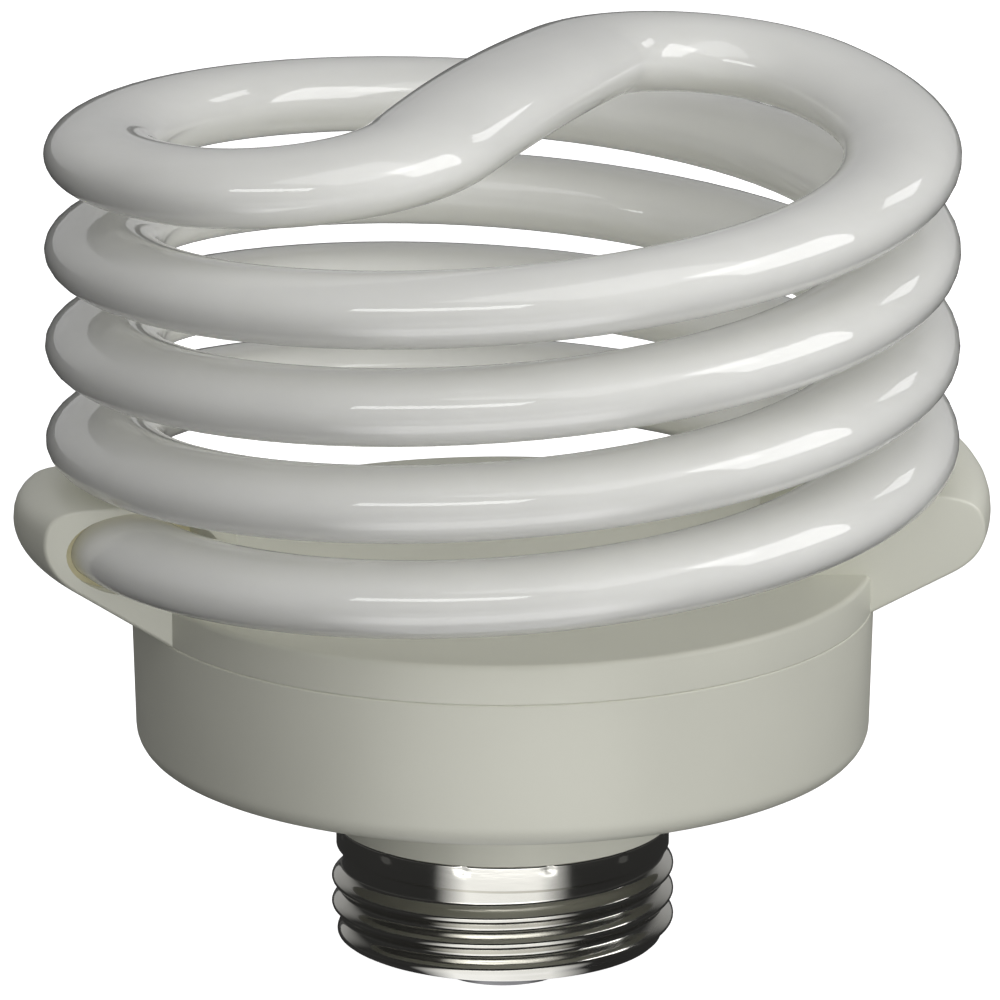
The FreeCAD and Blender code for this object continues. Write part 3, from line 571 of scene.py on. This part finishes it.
@dataclass(frozen=True)
class PlatedMetal:
    """Bright plated sheet metal with fine rolling marks and faint tarnish."""

    name: str
    colour: Colour
    roughness: float = 0.12
    worn_roughness: float = 0.26
    tarnish: float = 0.8
    tarnish_scale: float = 110.0
    tarnish_detail: float = 4.0
    tarnish_stops: tuple[float, float] = (0.35, 0.75)
    wear_stops: tuple[float, float] = (0.4, 0.8)
    mark_scale: float = 500.0
    mark_detail: float = 3.0
    mark_stretch: tuple[float, float, float] = (1, 1, 6)
    mark_depth: float = 0.00002
    mark_strength: float = 0.2

    def material(self) -> Material:
        """Makes the metal.

        Returns:
            The material of a metal part.
        """
        material, shader = new_material(self.name)
        tree = material.node_tree
        tarnish = noise(tree, self.tarnish_scale, self.tarnish_detail)
        clean, dull = self.tarnish_stops
        colour = ramp(tree, tarnish, (clean, self.colour), (dull, shaded(self.colour, self.tarnish)))
        bright, worn = self.wear_stops
        rough = ramp(tree, tarnish, (bright, grey(self.roughness)), (worn, grey(self.worn_roughness)))
        marks = noise(tree, self.mark_scale, self.mark_detail, self.mark_stretch)
        feed(tree, shader, Metallic=1.0, Base_Color=colour, Roughness=rough,
             Normal=bump(tree, marks, self.mark_depth, self.mark_strength))
        return material


@dataclass(frozen=True)
class MottledSolid:
    """Matt or glossy material mottled between two colours, for the pieces inside the housing."""

    name: str
    first: Colour
    second: Colour
    roughness: float = 0.6
    scale: float = 400.0
    detail: float = 4.0
    stops: tuple[float, float] = (0.35, 0.65)
    bump_depth: float = 0.0001
    bump_strength: float = 0.4

    def material(self) -> Material:
        """Makes the mottled solid.

        Returns:
            The material of an inner piece.
        """
        material, shader = new_material(self.name)
        tree = material.node_tree
        mottling = noise(tree, self.scale, self.detail)
        low, high = self.stops
        feed(tree, shader, Base_Color=ramp(tree, mottling, (low, self.first), (high, self.second)),
             Roughness=self.roughness, Normal=bump(tree, mottling, self.bump_depth, self.bump_strength))
        return material


IVORY = MouldedPlastic("ivory_plastic", (0.72, 0.72, 0.63))
INSULATOR = MouldedPlastic("insulator_plastic", (0.60, 0.59, 0.52), roughness=0.5)
NICKEL = PlatedMetal("nickel_plate", (0.72, 0.71, 0.66), roughness=0.08, worn_roughness=0.2)
TINNED = PlatedMetal("tinned_contact", (0.30, 0.30, 0.31), roughness=0.35, worn_roughness=0.5, tarnish=0.7)
INNER_FINISHES: dict[str, Finish] = {
    "tube_cement": MottledSolid("tube_cement", (0.50, 0.47, 0.30), (0.60, 0.56, 0.38), 0.9),
    "contact_metal": TINNED,
    "board": MottledSolid("paper_board", (0.35, 0.25, 0.10), (0.42, 0.31, 0.14), 0.55, 250.0),
    "ferrite": MottledSolid("ferrite", (0.020, 0.020, 0.022), (0.045, 0.045, 0.048), 0.7, 900.0),
    "black_plastic": MottledSolid("black_plastic", (0.010, 0.010, 0.011), (0.018, 0.018, 0.020), 0.45,
                                  700.0),
    "copper_wire": MottledSolid("enamelled_wire", (0.30, 0.08, 0.025), (0.42, 0.13, 0.04), 0.3, 1500.0),
    "film_capacitor": MottledSolid("dipped_film", (0.22, 0.06, 0.02), (0.30, 0.09, 0.03), 0.25, 300.0),
    "lead_insulation": MottledSolid("lead_sleeve", (0.62, 0.62, 0.60), (0.70, 0.70, 0.68), 0.5, 500.0),
}


# Pieces of the lamp

@dataclass
class SpiralTube:
    """The glass tube with its crossover."""

    path: CoilPath = field(default_factory=CoilPath)
    finish: OpalGlass = field(default_factory=OpalGlass)
    arm_steps: int = 150
    crossing_steps: int = 110
    segments: int = 48
    sharp: float = 60.0

    def ways(self) -> list[float]:
        """Where the tube has a section.

        Returns:
            Places along the whole tube, from 0 to 3.
        """
        arm = [index / self.arm_steps for index in range(self.arm_steps)]
        top = [1 + index / self.crossing_steps for index in range(self.crossing_steps)]
        return arm + top + [2 + way for way in arm] + [3.0]

    def build(self) -> Object:
        """Builds the tube.

        Returns:
            One smooth closed bar.
        """
        rings = [oval_placement(*self.path.along(way), *self.path.half_sizes(way)) for way in self.ways()]
        tube = finished(swept(rings, self.segments), "glass_spiral", self.sharp)
        return stand_for(tube, self.finish, "lamp_glass", "spiral_tube")


@dataclass
class SocketShape:
    """Outline of the sockets that hold the tube's ends."""

    path: CoilPath = field(default_factory=CoilPath)
    housing_radius: float = 28.4
    seam_height: float = 29.9
    back: float = 4.5
    mouth: float = 13.5
    outer: tuple[float, float] = (37.0, 37.15)
    bulge: float = 0.35
    inner: float = 24.0
    centre: tuple[float, float] = (36.35, 37.9)
    crown: tuple[float, float] = (2.95, 3.0)
    belly: tuple[float, float] = (4.2, 5.0)
    fullness: float = 1.6
    side_gap: float = 0.75
    top_gap: float = 0.5
    lift: float = 0.2
    cavity_end: float = -0.032
    past_mouth: float = 0.22
    arc_bits: int = 10
    slices: int = 20
    rim_round: float = 0.25
    rim_bits: int = 4
    most_side_corners: int = 8
    cavity_steps: int = 30
    cavity_segments: int = 48

    def arc(self, centre: Vector, across: Vector, up: Vector, first: float, last: float,
            weight: float = 0.0) -> list[Vector]:
        """Points of an arc on two half axes.

        Args:
            centre: centre of the arc.
            across: half axis at 0 degrees.
            up: half axis at 90 degrees.
            first: first angle.
            last: last angle.
            weight: weight of the middle control point, or 0 for an ellipse.

        Returns:
            The points from the first angle to the last.
        """
        low, high = math.radians(first), math.radians(last)
        spread = abs(high - low) / 2
        weight = weight or math.cos(spread)
        start = across * math.cos(low) + up * math.sin(low)
        end = across * math.cos(high) + up * math.sin(high)
        middle = (across * math.cos((low + high) / 2) + up * math.sin((low + high) / 2)) / math.cos(spread)
        points = []
        for bit in range(self.arc_bits + 1):
            share = bit / self.arc_bits
            parts = ((1 - share) ** 2, 2 * weight * share * (1 - share), share ** 2)
            blend = start * parts[0] + middle * parts[1] + end * parts[2]
            points.append(centre + blend / sum(parts))
        return points

    def outline(self, share: float) -> list[Vector]:
        """Outline across a socket.

        Args:
            share: 0 at the closed end and 1 at the mouth.

        Returns:
            The corners of the closed outline.
        """
        depth = -self.back + share * (self.back + self.mouth)

        def between(ends: tuple[float, float]) -> float:
            """Value between the closed end and the mouth."""
            return ends[0] + share * (ends[1] - ends[0])

        reach = between(self.outer) + self.bulge * 4 * share * (1 - share)
        outer = math.sqrt(reach ** 2 - depth ** 2)
        inner = math.sqrt(self.inner ** 2 - depth ** 2)
        corner = math.sqrt(self.housing_radius ** 2 - depth ** 2)
        middle = math.sqrt(self.path.coil_radius ** 2 - depth ** 2)
        height = between(self.centre)
        belly = between(self.belly)
        centre = Vector((middle, depth, height))
        outside = Vector((outer - middle, 0, 0))
        inside = Vector((inner - middle, 0, 0))
        crown = UP * between(self.crown)
        across = (corner - middle) / (outer - middle)
        down = (self.seam_height - height) / belly
        touch = math.degrees(math.atan2(down, across) + math.acos(1 / math.hypot(across, down)))
        points = self.arc(centre, inside, crown, 0, 90, self.fullness)
        points += self.arc(centre, outside, crown, 90, 0, self.fullness)[1:]
        points += self.arc(centre, outside, UP * belly, 0, touch)[1:]
        points.append(Vector((corner, depth, self.seam_height)))
        points.append(Vector((inner, depth, self.seam_height)))
        return points

    def blank(self) -> BMesh:
        """Body of the right-hand socket.

        Returns:
            The closed mesh.
        """
        mesh = bmesh.new()
        verts = [mesh.verts.new(point) for point in self.outline(0)]
        edges = [mesh.edges.new(pair) for pair in zip(verts, verts[1:] + verts[:1])]
        for piece in range(1, self.slices + 1):
            fresh, edges = extruded_ring(mesh, edges)
            verts = self.in_step(fresh, verts)
            for vert, point in zip(verts, self.outline(piece / self.slices)):
                vert.co = point
        close_up(mesh)
        ends = [face for face in mesh.faces if len(face.verts) > self.most_side_corners]
        rims = list({edge for face in ends for edge in face.edges})
        bmesh.ops.bevel(mesh, geom=rims, offset=self.rim_round, offset_type="OFFSET",
                        segments=self.rim_bits, profile=0.5, affect="EDGES", material=-1,
                        clamp_overlap=True)
        return mesh

    @staticmethod
    def in_step(ring: Sequence[BMVert], before: Sequence[BMVert]) -> list[BMVert]:
        """Vertices of an extruded ring in the order of the ring that they came from."""
        fresh = set(ring)
        return [edge.other_vert(vert) for vert in before for edge in vert.link_edges
                if edge.other_vert(vert) in fresh]

    def cavity(self) -> BMesh:
        """Space in the right-hand socket that takes the tube.

        Returns:
            The closed mesh.
        """
        rings = []
        for step in range(self.cavity_steps + 1):
            level = self.cavity_end + (self.past_mouth - self.cavity_end) * step / self.cavity_steps
            point, ahead = self.path.arm(level)
            half_width = self.path.tube_width / 2 + self.side_gap
            half_height = self.path.tube_height / 2 + self.top_gap
            rings.append(oval_placement(point + UP * self.lift, ahead, half_width, half_height))
        return swept(rings, self.cavity_segments)


@dataclass
class TubeCover:
    """Upper housing with its flat deck and the two sockets."""

    sockets: SocketShape = field(default_factory=SocketShape)
    finish: MouldedPlastic = IVORY
    skirt_height: float = 3.1
    wall: float = 1.5
    spigot_outer: float = 27.25
    spigot_wall: float = 1.2
    spigot_depth: float = 2.0
    edge_round: float = 0.45
    seam_round: float = 0.15
    room_segments: int = 160
    sharp: float = 30.0

    @staticmethod
    def pair(make: Callable[[], BMesh], name: str) -> list[Object]:
        """Right-hand piece and the same piece half a turn about the lamp's axis.

        Args:
            make: builds the mesh of the right-hand piece.
            name: what the names of both start with.

        Returns:
            The two objects.
        """
        made = []
        for angle in (0, 180):
            mesh = make()
            bmesh.ops.rotate(mesh, cent=(0, 0, 0), matrix=Matrix.Rotation(math.radians(angle), 3, "Z"),
                             verts=mesh.verts[:])
            made.append(finished(mesh, f"{name}_{angle}"))
        return made

    def build(self) -> Object:
        """Builds the cover.

        Returns:
            One closed moulding.
        """
        seam = self.sockets.seam_height
        top = seam + self.skirt_height
        inner = self.spigot_outer - self.spigot_wall
        radius = self.sockets.housing_radius
        cup = finished(turned(rounded([
            (0, top - self.wall, 0), (inner, top - self.wall, 0), (inner, seam - self.spigot_depth, 0),
            (self.spigot_outer, seam - self.spigot_depth, 0), (self.spigot_outer, seam, 0),
            (radius, seam, self.seam_round), (radius, top, self.edge_round), (0, top, 0),
        ])), "tube_cover_shell")
        combined(cup, self.pair(self.sockets.blank, "socket"), Join.UNION, self.sharp)
        room = bmesh.new()
        height = top - self.wall - (seam - self.spigot_depth)
        bmesh.ops.create_cone(room, cap_ends=True, segments=self.room_segments, radius1=inner,
                              radius2=inner, depth=height,
                              matrix=Matrix.Translation((0, 0, seam - self.spigot_depth + height / 2)))
        cavities = self.pair(self.sockets.cavity, "cavity")
        combined(cup, cavities + [finished(room, "board_room")], Join.DIFFERENCE, self.sharp)
        return stand_for(cup, self.finish, "ivory_plastic", "tube_cover")


@dataclass
class BallastHousing:
    """Lower housing: the round-bottomed cup and its neck."""

    finish: MouldedPlastic = IVORY
    radius: float = 28.4
    draft: float = 0.35
    wall: float = 1.5
    seam: float = 29.9
    floor: float = 18.4
    floor_round: float = 1.9
    neck_radius: float = 12.9
    spigot_seat: float = 27.35
    spigot_depth: float = 2.2
    shell_top: float = 12.3
    neck_foot: float = 10.3
    collar_inner: float = 12.5
    neck_inner: float = 11.0
    neck_round: float = 0.5
    seam_round: float = 0.15
    inner_round: float = 0.6
    corner_bits: int = 8

    def build(self) -> Object:
        """Builds the housing.

        Returns:
            One closed moulding.
        """
        low = self.radius - self.draft
        housing = finished(turned(rounded([
            (self.neck_inner, self.neck_foot, 0), (self.collar_inner, self.neck_foot, 0),
            (self.collar_inner, self.shell_top, 0), (self.neck_radius, self.shell_top, 0),
            (self.neck_radius, self.floor, self.neck_round), (low, self.floor, self.floor_round),
            (self.radius, self.seam, self.seam_round), (self.spigot_seat, self.seam, 0),
            (self.spigot_seat, self.seam - self.spigot_depth, 0),
            (self.radius - self.wall, self.seam - self.spigot_depth, 0),
            (low - self.wall, self.floor + self.wall, self.inner_round),
            (self.neck_inner, self.floor + self.wall, 0),
        ], self.corner_bits)), "ballast_cup")
        return stand_for(housing, self.finish, "ivory_plastic", "ballast_housing")


@dataclass
class ScrewShell:
    """Rolled sheet shell: a plain collar with staking dimples and a right-handed thread."""

    finish: PlatedMetal = NICKEL
    collar_radius: float = 12.8
    sheet: float = 0.3
    rim: float = 12.3
    collar_foot: float = 10.1
    root: float = 12.3
    crest: float = 13.15
    pitch: float = 2.04
    foot: float = 3.55
    turns: float = 2.9
    start_azimuth: float = 180.0
    mouth_radius: float = 9.4
    mouth_height: float = 2.2
    rows_per_pitch: int = 18
    steps: int = 240
    dimples: int = 12
    dimple_azimuth: float = 16.0
    dimple_height: float = 11.92
    dimple_radius: float = 0.5
    dimple_depth: float = 0.12
    rim_round: float = 0.08
    collar_bits: int = 8
    collar_gap: float = 0.25
    wall_start: float = 0.1
    foot_drop: float = 0.2
    foot_curve: tuple[tuple[float, float], ...] = ((0.08, 0.25), (0.3, 0.45), (0.7, 0.6))
    thread_depth: float = 0.45
    lead_in: tuple[float, float] = (0.12, 0.25)
    run_out: float = 0.3
    sharp: float = 50.0

    def wall_line(self) -> list[tuple[float, float]]:
        """Outer line of the wall.

        Returns:
            Points as radius and height, from the rim down to the mouth.
        """
        top = self.collar_foot - self.wall_start
        bottom = self.foot - self.foot_drop
        rows = round((top - bottom) / self.pitch * self.rows_per_pitch)
        fall = self.collar_foot + self.collar_gap - self.rim
        line = [(self.collar_radius, self.rim - self.rim_round)]
        line += [(self.collar_radius, self.rim + fall * part / self.collar_bits)
                 for part in range(1, self.collar_bits + 1)]
        line += [(self.root, top + (bottom - top) * row / rows) for row in range(rows + 1)]
        line += [(self.root - inwards, bottom - down) for inwards, down in self.foot_curve]
        line.append((self.mouth_radius, self.mouth_height))
        return line

    def build(self) -> Object:
        """Builds the shell.

        Returns:
            One closed sheet of metal.
        """
        outer = self.wall_line()
        inner = [(radius - self.sheet, height) for radius, height in reversed(outer[:-1])]
        mouth = [(self.mouth_radius, self.mouth_height + self.sheet)]
        rim = [(self.collar_radius - self.rim_round, self.rim)]
        mesh = turned(outer + mouth + inner + rim, self.steps)
        for vert in mesh.verts:
            radius = math.hypot(vert.co.x, vert.co.y)
            azimuth = math.degrees(math.atan2(vert.co.y, vert.co.x))
            push = self.ridge(azimuth, vert.co.z) if radius > self.root - self.thread_depth else 0.0
            push -= self.dimple(azimuth, vert.co.z)
            vert.co.x *= (radius + push) / radius
            vert.co.y *= (radius + push) / radius
        shell = finished(mesh, "threaded_shell", self.sharp)
        return stand_for(shell, self.finish, "shell_metal", "screw_shell")

    def ridge(self, azimuth: float, height: float) -> float:
        """How far the rolled thread pushes the wall out.

        Args:
            azimuth: degrees round the axis.
            height: height over the contact.

        Returns:
            The push along the radius.
        """
        push = 0.0
        begin = (azimuth - self.start_azimuth) % 360 / 360
        early, rise = self.lead_in
        for turn in range(-1, math.ceil(self.turns) + 2):
            along = begin + turn
            near = abs(height - self.foot - self.pitch * along) / self.pitch
            ends = min(1.0, max(0.0, (along + early) / rise))
            ends *= min(1.0, max(0.0, (self.turns - along) / self.run_out))
            if near < 0.5:
                push = max(push, (0.5 + 0.5 * math.cos(2 * math.pi * near)) * ends)
        return push * (self.crest - self.root)

    def dimple(self, azimuth: float, height: float) -> float:
        """How deep a staking dimple presses the collar in.

        Args:
            azimuth: degrees round the axis.
            height: height over the contact.

        Returns:
            The depth along the radius.
        """
        step = 360 / self.dimples
        away = (azimuth - self.dimple_azimuth + step / 2) % step - step / 2
        across = math.radians(away) * self.collar_radius
        near = math.hypot(across, height - self.dimple_height) / self.dimple_radius
        return self.dimple_depth * (0.5 + 0.5 * math.cos(math.pi * near)) if near < 1 else 0.0


@dataclass
class BaseEnd:
    """Insulator that closes the shell, and the centre contact.

    Each line gives the corners of half a section as radius, height and rounding.
    """

    insulator_finish: MouldedPlastic = INSULATOR
    contact_finish: PlatedMetal = TINNED
    insulator_line: tuple[tuple[float, float, float], ...] = (
        (1.5, 0.9, 0), (4.95, 0.9, 0.1), (8.7, 1.85, 0.2), (9.4, 2.3, 0.1), (9.4, 2.5, 0),
        (10.7, 2.863, 0), (10.3, 4.15, 0), (1.5, 3.75, 0),
    )
    contact_line: tuple[tuple[float, float, float], ...] = (
        (0, 0, 0), (4.1, 0, 0.5), (4.8, 0.15, 0.15), (4.85, 0.9, 0.05), (0, 0.9, 0),
    )

    def build(self) -> list[Object]:
        """Builds both pieces.

        Returns:
            The insulator and the contact.
        """
        insulator = finished(turned(rounded(self.insulator_line)), "end_insulator")
        contact = finished(turned(rounded(self.contact_line)), "contact_disc")
        return [stand_for(insulator, self.insulator_finish, "insulator", "base_insulator"),
                stand_for(contact, self.contact_finish, "contact_metal", "centre_contact")]


@dataclass
class InnerParts:
    """The ballast, its wires and the cement, which stay as they were packed."""

    finishes: dict[str, Finish] = field(default_factory=lambda: dict(INNER_FINISHES))

    def build(self) -> list[Object]:
        """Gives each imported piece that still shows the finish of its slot.

        Returns:
            The dressed pieces.
        """
        slots = {part["node"]: part["material_slot"] for part in frame["record"]["subparts"]}
        dressed = []
        materials: dict[str, Material] = {}
        for node, piece in frame["nodes"].items():
            finish = self.finishes.get(slots.get(node, ""))
            if piece.hide_render or finish is None:
                continue
            if finish.name not in materials:
                materials[finish.name] = finish.material()
            for place in piece.material_slots:
                place.material = materials[finish.name]
            dressed.append(piece)
        return dressed


# Studio

class LampSide(Enum):
    """Direction that a softbox shines from, as azimuth from the front to the right, and elevation."""

    KEY = (28.0, 22.0)
    FRONT = (38.0, 14.0)
    RIGHT = (85.0, 45.0)
    TOP = (50.0, 74.0)
    BACK = (138.0, 36.0)
    STRIP = (-25.0, 50.5)


@dataclass(frozen=True)
class Softbox:
    """Soft rectangular light aimed at the middle of the lamp.

    One that doesn't light is only seen as a highlight. One that casts no shadow stands for the light
    that comes through the glass and its thin coating. Sizes are metres, powers watts.
    """

    side: LampSide
    width: float
    height: float
    power: float
    roll: float = 0.0
    lights: bool = True
    mirrored: bool = True
    shadows: bool = True
    distance: float = 0.55

    def build(self, target: Vector) -> Object:
        """Makes the light.

        Args:
            target: place that it is aimed at, in metres.

        Returns:
            The light's object.
        """
        azimuth, elevation = (math.radians(angle) for angle in self.side.value)
        way = Vector((math.sin(azimuth) * math.cos(elevation), -math.cos(azimuth) * math.cos(elevation),
                      math.sin(elevation)))
        data = bpy.data.lights.new(f"softbox_{self.side.name.lower()}", "AREA")
        data.shape = "RECTANGLE"
        data.size = self.width
        data.size_y = self.height
        data.energy = self.power
        light = bpy.data.objects.new(data.name, data)
        light.location = target + way * self.distance
        light.rotation_mode = "QUATERNION"
        roll = Quaternion(UP, math.radians(self.roll))
        light.rotation_quaternion = (-way).to_track_quat("-Z", "Y") @ roll
        data.use_shadow = self.shadows
        light.visible_diffuse = self.lights
        light.visible_glossy = self.mirrored
        bpy.context.scene.collection.objects.link(light)
        return light


class Mixed(Enum):
    """What a switch picks between."""

    VALUE = "FLOAT"
    COLOUR = "RGBA"


@dataclass
class Studio:
    """Pale floor, soft light and the camera at the photograph's angle.

    What starts with mirrored is seen by the lamp's gloss alone: a bright sheet in front, a brighter band
    of it near the lamp, dark sides and a dim back. The band is in metres, the sheet in degrees.
    """

    camera_distance: float = 1070.6
    camera_elevation: float = 16.304
    camera_lens: float = 504.5
    sensor_width: float = 36.0
    clip_start: float = 0.05
    clip_end: float = 20.0
    target: tuple[float, float, float] = (-0.2, 0.0, 37.62)
    floor_size: float = 6000.0
    floor_front: float = 0.50
    floor_sides: float = 0.15
    floor_seen: float = 0.80
    floor_roughness: float = 0.9
    softboxes: tuple[Softbox, ...] = (
        Softbox(LampSide.KEY, 0.55, 0.38, 0.25, mirrored=False),
        Softbox(LampSide.FRONT, 0.55, 0.38, 1.3, mirrored=False, shadows=False),
        Softbox(LampSide.RIGHT, 0.31, 0.34, 1.4, roll=-18.0, lights=False),
        Softbox(LampSide.TOP, 0.40, 0.40, 0.75, shadows=False),
        Softbox(LampSide.BACK, 0.10, 0.10, 0.07, lights=False),
        Softbox(LampSide.STRIP, 0.35, 0.09, 0.49, lights=False),
    )
    sky: float = 0.37
    mirrored_sides: float = 0.03
    mirrored_back: float = 0.4
    back_span: tuple[float, float] = (0.45, 0.95)
    mirrored_floor: float = 1.2
    mirrored_band: float = 2.6
    band_near: tuple[float, float] = (0.048, 0.062)
    band_far: tuple[float, float] = (0.11, 0.15)
    floor_glow: float = 0.88
    sheet_half: float = 22.0
    sheet_fade: float = 20.0

    def build(self) -> None:
        """Makes the camera, the lights, the world and the floor."""
        middle = Vector(self.target) * MILLIMETRE
        self.make_camera(middle)
        for softbox in self.softboxes:
            softbox.build(middle)
        self.make_world()
        self.make_floor()
        bpy.context.scene.view_settings.view_transform = "Standard"

    def make_camera(self, middle: Vector) -> None:
        """Camera that looks along +Y and down at the lamp.

        Args:
            middle: place that it is aimed at, in metres.
        """
        elevation = math.radians(self.camera_elevation)
        back = Vector((0, -math.cos(elevation), math.sin(elevation)))
        data = bpy.data.cameras.new("photo_camera")
        data.lens = self.camera_lens
        data.sensor_width = self.sensor_width
        camera = bpy.data.objects.new("photo_camera", data)
        camera.location = middle + back * self.camera_distance * MILLIMETRE
        camera.rotation_mode = "QUATERNION"
        camera.rotation_quaternion = (-back).to_track_quat("-Z", "Y")
        data.clip_start = self.clip_start
        data.clip_end = self.clip_end
        bpy.context.scene.collection.objects.link(camera)
        bpy.context.scene.camera = camera

    def make_world(self) -> None:
        """World that is white to the camera and gives plain soft light."""
        world = bpy.data.worlds.new("studio_world")
        world.use_nodes = True
        tree = world.node_tree
        path = add_node(tree, "LightPath")
        place = add_node(tree, "TexCoord")
        parts = add_node(tree, "SeparateXYZ", Vector=place.outputs["Generated"])
        mirrored = self.faded(tree, parts.outputs["Y"], self.back_span,
                              (self.mirrored_sides, self.mirrored_back))
        strength = self.picked(tree, path.outputs["Is Glossy Ray"], self.sky, mirrored)
        strength = self.picked(tree, path.outputs["Is Camera Ray"], strength, 1.0)
        feed(tree, tree.nodes["Background"], Color=(1, 1, 1, 1), Strength=strength)
        bpy.context.scene.world = world

    @staticmethod
    def faded(tree: NodeTree, source: NodeSocket, span: tuple[float, float],
              values: tuple[float, float]) -> NodeSocket:
        """Value that goes smoothly from one to another.

        Args:
            tree: node tree that gets the node.
            source: socket that drives the value.
            span: where the source starts and ends the change.
            values: the value before and after the change.

        Returns:
            The socket with the value.
        """
        fade = tree.nodes.new("ShaderNodeMapRange")
        fade.interpolation_type = "SMOOTHSTEP"
        feed(tree, fade, Value=source, From_Min=span[0], From_Max=span[1], To_Min=values[0],
             To_Max=values[1])
        return fade.outputs["Result"]

    @staticmethod
    def picked(tree: NodeTree, switch: NodeSocket, off: NodeSocket | float,
               on: NodeSocket | float | tuple, kind: Mixed = Mixed.VALUE) -> NodeSocket:
        """Value or colour that is one thing where a switch is off and another where it is on.

        Args:
            tree: node tree that gets the node.
            switch: socket that is 0 or 1.
            off: what it is for 0, or a socket with it.
            on: what it is for 1, or a socket with it.
            kind: whether it is a value or a colour.

        Returns:
            The socket with what is picked.
        """
        mix = tree.nodes.new("ShaderNodeMix")
        mix.data_type = kind.value
        feed(tree, mix, Factor=switch, A=off, B=on)
        return mix.outputs["Result"]

    @staticmethod
    def product(tree: NodeTree, first: NodeSocket, second: NodeSocket) -> NodeSocket:
        """Product of two values.

        Args:
            tree: node tree that gets the node.
            first: socket with one value.
            second: socket with the other value.

        Returns:
            The socket with the product.
        """
        times = tree.nodes.new("ShaderNodeMath")
        times.operation = "MULTIPLY"
        tree.links.new(first, times.inputs[0])
        tree.links.new(second, times.inputs[1])
        return times.outputs["Value"]

    def make_floor(self) -> None:
        """Pale floor under the contact, white to the camera away from the lamp's shadow."""
        mesh = bmesh.new()
        bmesh.ops.create_grid(mesh, x_segments=1, y_segments=1, size=self.floor_size / 2)
        floor = finished(mesh, "studio_floor")
        material, shader = new_material("floor_paper")
        tree = material.node_tree
        path = add_node(tree, "LightPath")
        place = add_node(tree, "TexCoord").outputs["Object"]
        round_lamp = add_node(tree, "TexGradient", Vector=place)
        round_lamp.gradient_type = "RADIAL"
        azimuth = round_lamp.outputs["Fac"]
        sheet = self.front_sheet(tree, azimuth, self.floor_sides, self.floor_front)
        seen = self.picked(tree, path.outputs["Is Camera Ray"], sheet, (*grey(self.floor_seen), 1),
                           Mixed.COLOUR)
        unlit = self.picked(tree, path.outputs["Is Glossy Ray"], seen, (*grey(0.0), 1), Mixed.COLOUR)
        image = self.front_sheet(tree, azimuth, self.mirrored_sides, self.mirrored_floor)
        away = tree.nodes.new("ShaderNodeVectorMath")
        away.operation = "LENGTH"
        tree.links.new(place, away.inputs[0])
        near = self.faded(tree, away.outputs["Value"], self.band_near, (1.0, self.mirrored_band))
        far = self.faded(tree, away.outputs["Value"], self.band_far, (1.0, 1.0 / self.mirrored_band))
        mirrored = self.product(tree, image, self.product(tree, near, far))
        glow = self.picked(tree, path.outputs["Is Glossy Ray"], 0.0, mirrored)
        glow = self.picked(tree, path.outputs["Is Camera Ray"], glow, self.floor_glow)
        feed(tree, shader, Base_Color=unlit, Roughness=self.floor_roughness, Specular_IOR_Level=0.0,
             Emission_Color=(1, 1, 1, 1), Emission_Strength=glow)
        floor.data.materials.append(material)

    def front_sheet(self, tree: NodeTree, azimuth: NodeSocket, sides: float, front: float) -> NodeSocket:
        """Grey that differs between the part of the floor in front of the lamp and the rest.

        Args:
            tree: node tree that gets the node.
            azimuth: socket with the turn round the lamp, 0.25 towards the front.
            sides: level beside and behind the lamp.
            front: level in front of the lamp.

        Returns:
            The socket with the grey.
        """
        ahead = 0.25
        half = self.sheet_half / 360
        outside = half + self.sheet_fade / 360
        return ramp(tree, azimuth, (ahead - outside, grey(sides)), (ahead - half, grey(front)),
                    (ahead + half, grey(front)), (ahead + outside, grey(sides)))


def main() -> None:
    """Builds every piece of the lamp and the studio, and reports each piece."""
    logging.basicConfig(level=logging.INFO, format="%(name)s: %(message)s")
    Studio().build()
    builders: list[Callable[[], object]] = [SpiralTube().build, TubeCover().build, BallastHousing().build,
                                            ScrewShell().build, BaseEnd().build, InnerParts().build]
    for builder in builders:
        made = builder()
        for piece in made if isinstance(made, list) else [made]:
            LOG.info("%s has %d faces", piece.name, len(piece.data.polygons))


if __name__ == "__main__":
    main()
